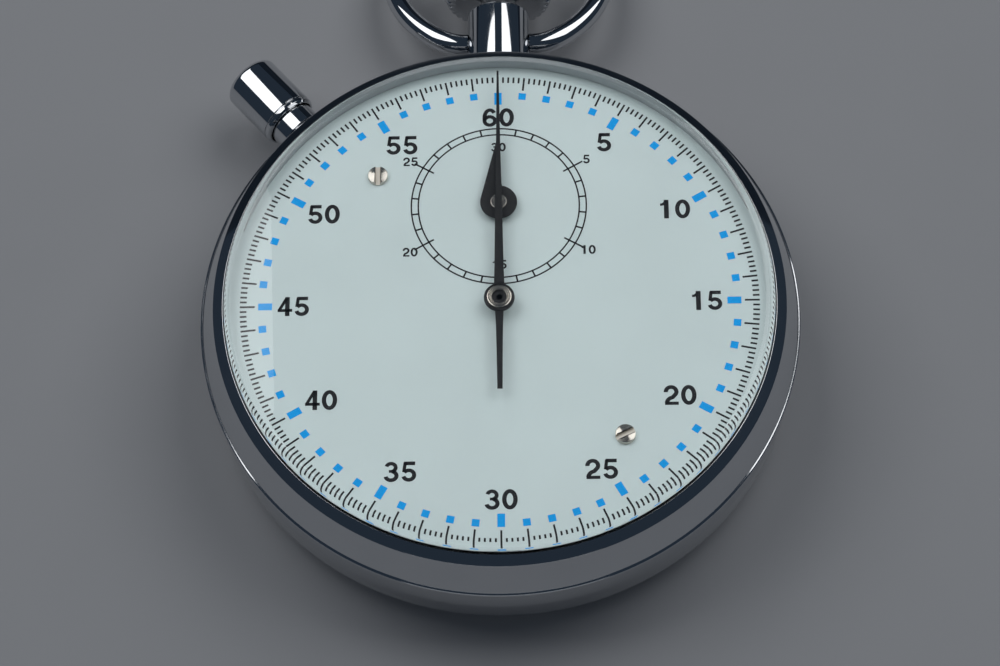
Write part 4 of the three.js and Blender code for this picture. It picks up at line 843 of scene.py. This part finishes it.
class STOPWATCH_OT_hands(StopwatchOperator):
    """Make the seconds hand, the minute hand and their bosses"""
    bl_idname = "stopwatch.hands"
    bl_label = "Hands"

    def make(self, scene):
        s = scene.stopwatch_hands
        black, nickel = finish("black lacquer"), finish("bright nickel")
        self.seconds_hand(s, black, nickel)
        self.minute_hand(s, black, nickel)

    def hand_levels(self, node, edge):
        z0, z1 = low(node)[2], high(node)[2]
        return [(z0, 0), (z1 - edge, 0), (z1, edge)]

    def seconds_hand(self, s, black, nickel):
        """The right side from tail to tip, with the hub's arc between, and its mirror image."""
        tip, tail = high("seconds_hand")[1], low("seconds_hand")[1]
        start, end = math.radians(-74), math.radians(70)
        right = np.concatenate([
            np.array([[0.24 * MM, tail], [0.275 * MM, -5.4 * MM], [0.33 * MM, -2.6 * MM]]),
            rim_arc(s.hub_r, start, end, 40),
            np.array([[0.42 * MM, 3.0 * MM], [0.36 * MM, 7.0 * MM], [0.195 * MM, 16.0 * MM],
                      [0.09 * MM, tip]])])
        outline = np.concatenate([right, right[::-1] * [-1, 1]])
        piece("seconds_pointer", prism(outline, self.hand_levels("seconds_hand", s.edge)),
              "seconds", black, ["seconds_hand"])
        z0, z1 = low("seconds_hand_collet")[2], high("seconds_hand_collet")[2]
        top = high("seconds_hand")[2]
        r = s.boss_r
        boss = rounded([
            (0, z0, 0), (0.72 * MM, z0, 0), (0.72 * MM, top - 0.1 * MM, 0), (r, top - 0.1 * MM, 0),
            (r, z1 - 0.02 * MM, 0.05 * MM), (r - 0.1 * MM, z1, 0.04 * MM),
            (r - 0.2 * MM, z1, 0.03 * MM), (r - 0.24 * MM, z1 - 0.06 * MM, 0.02 * MM),
            (r - 0.3 * MM, z1 - 0.06 * MM, 0.02 * MM), (r - 0.32 * MM, z1 - 0.01 * MM, 0.02 * MM),
            (s.boss_bore + 0.03 * MM, z1 - 0.01 * MM, 0.03 * MM),
            (s.boss_bore, z1 - 0.08 * MM, 0.02 * MM), (s.boss_bore, z1 - 0.5 * MM, 0),
            (0, z1 - 0.5 * MM, 0)])
        piece("seconds_boss", lathe(boss, 96), "seconds", nickel,
              ["seconds_hand_collet"])
        r = s.boss_bore - 0.01 * MM
        end = rounded([(0, z1 - 0.45 * MM, 0), (r, z1 - 0.45 * MM, 0),
                       (r, z1 - 0.28 * MM, 0.05 * MM), (0.3 * MM, z1 - 0.2 * MM, 0.1 * MM),
                       (0, z1 - 0.2 * MM, 0)])
        piece("seconds_arbor_end", lathe(end, 64), "seconds", black)
        rim = rounded([(s.hub_r - 0.24 * MM, top - 0.05 * MM, 0), (s.hub_r, top - 0.05 * MM, 0),
                       (s.hub_r - 0.02 * MM, top + 0.1 * MM, 0.08 * MM),
                       (s.hub_r - 0.24 * MM, top + 0.12 * MM, 0.05 * MM)])
        piece("seconds_hub_rim", lathe(rim, 96), "seconds", black)

    def minute_hand(self, s, black, nickel):
        """A disc with a pointer: its left edge is a tangent, its right edge nearly radial."""
        tip = high("minute_hand")[1] - REGISTER_Y
        r = s.disc_r
        left_touch = math.acos(r / math.hypot(tip, 0.1 * MM)) + TURN / 4
        right_x = 0.2 * MM
        right_touch = math.acos((right_x + 0.12 * MM) / r)
        outline = np.concatenate([
            rim_arc(r, left_touch, right_touch + TURN, 72),
            np.array([[right_x, r + 0.55 * MM], [0.1 * MM, tip], [-0.1 * MM, tip]])])
        hand = prism(outline, self.hand_levels("minute_hand", s.edge))
        piece("minute_pointer", shifted(hand, (0, REGISTER_Y, 0)), "minutes", black,
              ["minute_hand"])
        z0, z1 = low("minute_hand_collet")[2], high("minute_hand_collet")[2]
        top = high("minute_hand")[2]
        r = s.minute_boss_r
        boss = rounded([(0, z0, 0), (0.5 * MM, z0, 0), (0.5 * MM, top - 0.1 * MM, 0),
                        (r, top - 0.1 * MM, 0), (r, z1, 0.06 * MM),
                        (r - 0.28 * MM, z1, 0.03 * MM), (r - 0.3 * MM, z1 - 0.06 * MM, 0.02 * MM),
                        (0.32 * MM, z1 - 0.06 * MM, 0.02 * MM),
                        (0.3 * MM, z1 - 0.14 * MM, 0.02 * MM),
                        (0, z1 - 0.14 * MM, 0)])
        piece("minute_boss", shifted(lathe(boss, 72), (0, REGISTER_Y, 0)), "minutes",
              nickel, ["minute_hand_collet"])


class STOPWATCH_OT_crown(StopwatchOperator):
    """Make the neck, its sleeve and the fluted crown"""
    bl_idname = "stopwatch.crown"
    bl_label = "Crown and neck"

    def make(self, scene):
        s = scene.stopwatch_crown
        chrome, steel = finish("chrome plate"), finish("ground steel")
        start, end = low("pendant_neck")[1], high("pendant_neck")[1]
        r = radius_x("pendant_neck")
        neck = rounded([(1.0 * MM, start, 0), (r, start, 0), (r, end, 0.28 * MM),
                        (s.neck_bore, end, 0.1 * MM), (s.neck_bore, start + 0.7 * MM, 0),
                        (1.0 * MM, start + 0.7 * MM, 0)])
        piece("neck", along_crown(lathe(neck, 120)), "case", chrome, ["pendant_neck"])

        start, end = CASE_R + CROWN_TRAVEL + 0.15 * MM, high("crown_sleeve")[1]
        r = radius_x("crown_sleeve")
        sleeve = rounded([(0.85 * MM, start, 0), (r, start, 0.1 * MM), (r, end, 0.05 * MM),
                          (0.85 * MM, end, 0)])
        piece("sleeve_tube", along_crown(lathe(sleeve, 72)), "sleeve", steel,
              ["crown_sleeve"])
        spring_start, spring_end = low("crown_spring")[1], start - 0.2 * MM
        spring = piece("crown_coil", along_crown(coil(
            s.neck_bore - 0.5 * MM, s.spring_wire_r, spring_start, spring_end, 5)),
            "case", steel, ["crown_spring"])
        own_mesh(spring)
        piece("fluted_crown", self.fluted_crown(s), "crown", chrome, ["crown"], sharp=50)

    def fluted_crown(self, s):
        """Radius R(z) - depth w(z) (1 - |sin(n t / 2)|^0.8) about the crown's axis.

        R(z) is the rounded side of the crown, n the number of flutes, and w falls from 1 to 0
        over the chamfers at both ends, so that the flutes run out there.
        """
        start, end = low("crown")[1], high("crown")[1]
        r = radius_x("crown")
        profile = rounded([
            (0, start, 0), (r - 1.1 * MM, start, 0.1 * MM),
            (r - 0.25 * MM, start + 0.15 * MM, 0.2 * MM),
            (r, start + 0.75 * MM, 0.5 * MM), (r, end - 1.2 * MM, 0.6 * MM),
            (r - 0.45 * MM, end - 0.55 * MM, 0.6 * MM), (r - 2.2 * MM, end - 0.1 * MM, 2.0 * MM),
            (0, end, 0)], 9)
        sides = s.flutes * 10
        t = np.linspace(0, TURN, sides, endpoint=False)[:, None]
        plain, z = profile.T
        run_out, full = r - 0.75 * MM, r - 0.15 * MM
        weight = np.clip((plain - run_out) / (full - run_out), 0, 1)
        dip = 1 - np.abs(np.sin(s.flutes * t / 2)) ** 0.8
        out = plain - s.flute_depth * weight * dip
        points = np.stack([out * np.cos(t), out * np.sin(t), z + 0 * t], -1)
        return along_crown((points.reshape(-1, 3), quads(sides, len(plain)).tolist()))


def radius_x(node):
    """Half a node's size along X, for pieces that lie along the crown's axis."""
    return (high(node)[0] - low(node)[0]) / 2


class STOPWATCH_OT_bow(StopwatchOperator):
    """Make the bow from one bent wire"""
    bl_idname = "stopwatch.bow"
    bl_label = "Bow"

    def make(self, scene):
        """A circle carried along the wire's centre line, square to it.

        The centre line goes in along X from each pivot and round the ring, with its corners
        rounded, and the circle's radius narrows from the wire's to the pivot's inside the neck.
        """
        s = scene.stopwatch_crown
        opening = math.acos(s.reach / s.ring_r)
        mouth = s.ring_r * math.sin(opening)
        t = np.linspace(opening, TURN - opening, 160)
        ring = np.stack([-s.ring_r * np.sin(t), s.reach - s.ring_r * np.cos(t)], 1)
        neck_r = radius_x("pendant_neck")
        foot = np.array([[-mouth, 0.0], [-neck_r + 0.2 * MM, 0.0]])
        inner = np.array([[-s.neck_bore - 0.35 * MM, 0.0]])
        path = np.concatenate([inner, foot[::-1], ring[1:-1], foot * [-1, 1], inner * [-1, 1]])
        path = resampled(path, 420)
        for _ in range(60):
            path[1:-1] = path[1:-1] * 0.5 + (path[:-2] + path[2:]) * 0.25
        along = np.gradient(path, axis=0)
        along /= np.linalg.norm(along, axis=1)[:, None]
        across = np.stack([-along[:, 1], along[:, 0]], 1)
        inside = np.abs(path[:, 0]) < neck_r - 0.15 * MM
        low_end = path[:, 1] < 1.5 * MM
        wire = np.where(inside & low_end, s.pivot_r, s.wire_r)
        a = np.linspace(0, TURN, 32, endpoint=False)[None]
        out = wire[:, None] * np.cos(a)
        x = path[:, :1] + across[:, :1] * out
        y = path[:, 1:] + across[:, 1:] * out
        z = wire[:, None] * np.sin(a)
        droop = -math.asin((AXIS_Z - s.wire_r - 0.05 * MM) / (s.reach + s.ring_r))
        c, d = math.cos(droop), math.sin(droop)
        points = np.stack([x, BOW_HINGE_Y + y * c - z * d, AXIS_Z + y * d + z * c], -1)
        piece("bow_wire", (points.reshape(-1, 3), open_grid(len(path), a.size)), "bow",
              finish("chrome plate"), ["bow"])


def resampled(path, count):
    """Points evenly spaced along a path."""
    step = np.r_[0, np.cumsum(np.linalg.norm(np.diff(path, axis=0), axis=1))]
    at = np.linspace(0, step[-1], count)
    return np.stack([np.interp(at, step, path[:, i]) for i in range(2)], 1)


class STOPWATCH_OT_pusher(StopwatchOperator):
    """Make the pusher's tube and its cap"""
    bl_idname = "stopwatch.pusher"
    bl_label = "Pusher"

    def make(self, scene):
        s = scene.stopwatch_crown
        chrome = finish("chrome plate")
        collar = CASE_R + 0.1 * MM
        start = radius("mainplate") - 0.3 * MM
        bore = 0.9 * MM
        tube = rounded([
            (bore, start, 0), (s.tube_r, start, 0), (s.tube_r, collar, 0),
            (s.cap_r, collar, 0.08 * MM), (s.cap_r, collar + 0.6 * MM, 0.15 * MM),
            (s.tube_r, collar + 0.9 * MM, 0.2 * MM), (s.tube_r, s.tube_end, 0.1 * MM),
            (s.tube_bore, s.tube_end, 0.05 * MM), (s.tube_bore, start + 0.7 * MM, 0),
            (bore, start + 0.7 * MM, 0)])
        piece("pusher_guide", along_pusher(lathe(tube, 120)), "case", chrome,
              ["pusher_tube"])

        r, first, last = s.cap_r, s.cap_start, s.cap_start + s.cap_l
        bore, deep = s.tube_r + 0.1 * MM, s.tube_end + PUSH_TRAVEL + 0.4 * MM
        groove = 0.09 * MM
        cap = rounded([
            (0, deep, 0), (bore, deep, 0), (bore, first, 0.05 * MM),
            (r - 0.18 * MM, first, 0.08 * MM), (r - 0.02 * MM, first + 0.22 * MM, 0.1 * MM),
            (r, first + 0.5 * MM, 0.03 * MM), (r - groove, first + 0.56 * MM, 0.03 * MM),
            (r - groove, first + 0.66 * MM, 0.03 * MM), (r, first + 0.72 * MM, 0.03 * MM),
            (r, last - 0.45 * MM, 0.5 * MM), (r - 0.35 * MM, last - 0.06 * MM, 0.3 * MM),
            (r - 1.2 * MM, last, 1.0 * MM), (0, last, 0)], 8)
        piece("pusher_button", along_pusher(lathe(cap, 160)), "pusher", chrome,
              ["pusher_cap"])

        seat, spring_end = start + 1.0 * MM, deep - 0.3 * MM
        spring = piece("pusher_coil", along_pusher(coil(
            s.tube_bore - 0.55 * MM, s.spring_wire_r, seat, spring_end, 6)),
            "case", finish("ground steel"), ["pusher_spring"])
        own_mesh(spring)


class STOPWATCH_OT_movement(StopwatchOperator):
    """Give the dial and every piece inside the case its finish"""
    bl_idname = "stopwatch.movement"
    bl_label = "Dial and movement"

    def make(self, scene):
        slots = {part["node"]: part["material_slot"] for part in frame["record"]["subparts"]}
        for name, node in frame["nodes"].items():
            material = finish(FINISH_OF_SLOT[slots[name]])
            for place in node.material_slots:
                place.material = material


class STOPWATCH_OT_stage(StopwatchOperator):
    """Set the table, the two softboxes, the dim surroundings and the camera"""
    bl_idname = "stopwatch.stage"
    bl_label = "Table, lights and camera"

    def make(self, scene):
        s = scene.stopwatch_stage
        self.table(s)
        self.lights(scene, s)
        self.camera(scene, s)

    def table(self, s):
        """A flat sheet that curves up far behind: z rises with the square of the way beyond."""
        side = np.linspace(-TABLE_HALF, TABLE_HALF, 49)
        x, y = np.meshgrid(side, side, indexing="ij")
        z = 0.5 * np.clip(y - TABLE_FLAT, 0, None) ** 2
        rows = len(side)
        corner = (np.arange(rows - 1)[:, None] * rows + np.arange(rows - 1)[None]).reshape(-1)
        faces = np.stack([corner, corner + rows, corner + rows + 1, corner + 1], 1)
        mesh = bpy.data.meshes.new("table")
        mesh.from_pydata(np.stack([x, y, z], -1).reshape(-1, 3).tolist(), [], faces.tolist())
        mesh.shade_smooth()
        mesh.materials.append(finish("table"))
        made = bpy.data.objects.new("table", mesh)
        bpy.context.scene.collection.objects.link(made)

    def softbox(self, name, s, aside, elevation, size, watts):
        """A rectangular lamp that faces the watch.

        Its direction is cos(aside) (0, cos(elevation), sin(elevation)) + sin(aside) (1, 0, 0), and
        its sides lie along X and square to X.
        """
        lamp = bpy.data.lights.new(name, "AREA")
        lamp.shape = "RECTANGLE"
        lamp.size, lamp.size_y = size
        lamp.energy = watts
        made = bpy.data.objects.new(name, lamp)
        a, e = aside, elevation
        back = np.array([math.sin(a), math.cos(a) * math.cos(e), math.cos(a) * math.sin(e)])
        right = np.array([1.0, 0, 0]) - back[0] * back
        right /= np.linalg.norm(right)
        up = np.cross(back, right)
        turned = Matrix(np.column_stack([right, up, back]).tolist()).to_4x4()
        made.matrix_world = Matrix.Translation(back * s.box_far) @ turned
        bpy.context.scene.collection.objects.link(made)

    def lights(self, scene, s):
        """Each softbox ends a little short of straight above the dial."""
        self.softbox("left softbox", s, -s.box_aside, s.left_elevation,
                     (s.box_width, s.left_height), s.left_power)
        self.softbox("right softbox", s, s.box_aside, s.right_elevation,
                     (s.box_width, s.right_height), s.right_power)
        self.softbox("front fill", s, 0.0, math.radians(155), (0.5, 0.16), s.fill_power)
        world = bpy.data.worlds.new("dim studio")
        world.use_nodes = True
        surroundings = world.node_tree.nodes["Background"].inputs
        surroundings["Color"].default_value = (*s.surroundings, 1)
        surroundings["Strength"].default_value = 1.0
        scene.world = world
        scene.view_settings.view_transform = "Standard"

    def camera(self, scene, s):
        """Back direction from azimuth and elevation, then right and up turned by the roll."""
        cos_e, sin_e = math.cos(s.elevation), math.sin(s.elevation)
        back = np.array([math.sin(s.azimuth) * cos_e, -math.cos(s.azimuth) * cos_e, sin_e])
        right = np.cross((0, 0, 1.0), back)
        right /= np.linalg.norm(right)
        up = np.cross(back, right)
        c, d = math.cos(s.roll), math.sin(s.roll)
        right, up = right * c + up * d, up * c - right * d
        lens = bpy.data.cameras.new("camera")
        lens.lens = s.lens
        lens.sensor_width = SENSOR_W
        lens.clip_start = 0.01
        made = bpy.data.objects.new("camera", lens)
        place = np.array([s.target_x, s.target_y, s.target_z]) + back * s.distance
        made.matrix_world = (Matrix.Translation(place)
                             @ Matrix(np.column_stack([right, up, back]).tolist()).to_4x4())
        scene.collection.objects.link(made)
        scene.camera = made


OPERATORS = (
    STOPWATCH_OT_case,
    STOPWATCH_OT_crystal,
    STOPWATCH_OT_dial_print,
    STOPWATCH_OT_dial_screws,
    STOPWATCH_OT_hands,
    STOPWATCH_OT_crown,
    STOPWATCH_OT_bow,
    STOPWATCH_OT_pusher,
    STOPWATCH_OT_movement,
    STOPWATCH_OT_stage,
)


class STOPWATCH_PT_pieces(bpy.types.Panel):
    """Sizes, finishes and the operators that make the stopwatch"""
    bl_idname = "STOPWATCH_PT_pieces"
    bl_label = "Stopwatch"
    bl_space_type = "VIEW_3D"
    bl_region_type = "UI"
    bl_category = "Stopwatch"

    def draw(self, context):
        for name, group in GROUPS.items():
            column = self.layout.column(align=True)
            column.label(text=name.replace("stopwatch_", "").capitalize())
            for key in group.__annotations__:
                column.prop(getattr(context.scene, name), key)
        for operator in OPERATORS:
            self.layout.operator(operator.bl_idname)


def register():
    """Registers the sizes, the operators and the panel."""
    for cls in (*GROUPS.values(), *OPERATORS, STOPWATCH_PT_pieces):
        bpy.utils.register_class(cls)
    for name, group in GROUPS.items():
        setattr(bpy.types.Scene, name, bpy.props.PointerProperty(type=group))


def unregister():
    """Undoes register."""
    for name in GROUPS:
        delattr(bpy.types.Scene, name)
    for cls in (STOPWATCH_PT_pieces, *reversed(OPERATORS), *reversed(GROUPS.values())):
        bpy.utils.unregister_class(cls)


def main():
    """Makes every piece in order."""
    register()
    for operator in OPERATORS:
        group, name = operator.bl_idname.split(".")
        getattr(getattr(bpy.ops, group), name)()


if __name__ == "__main__":
    main()
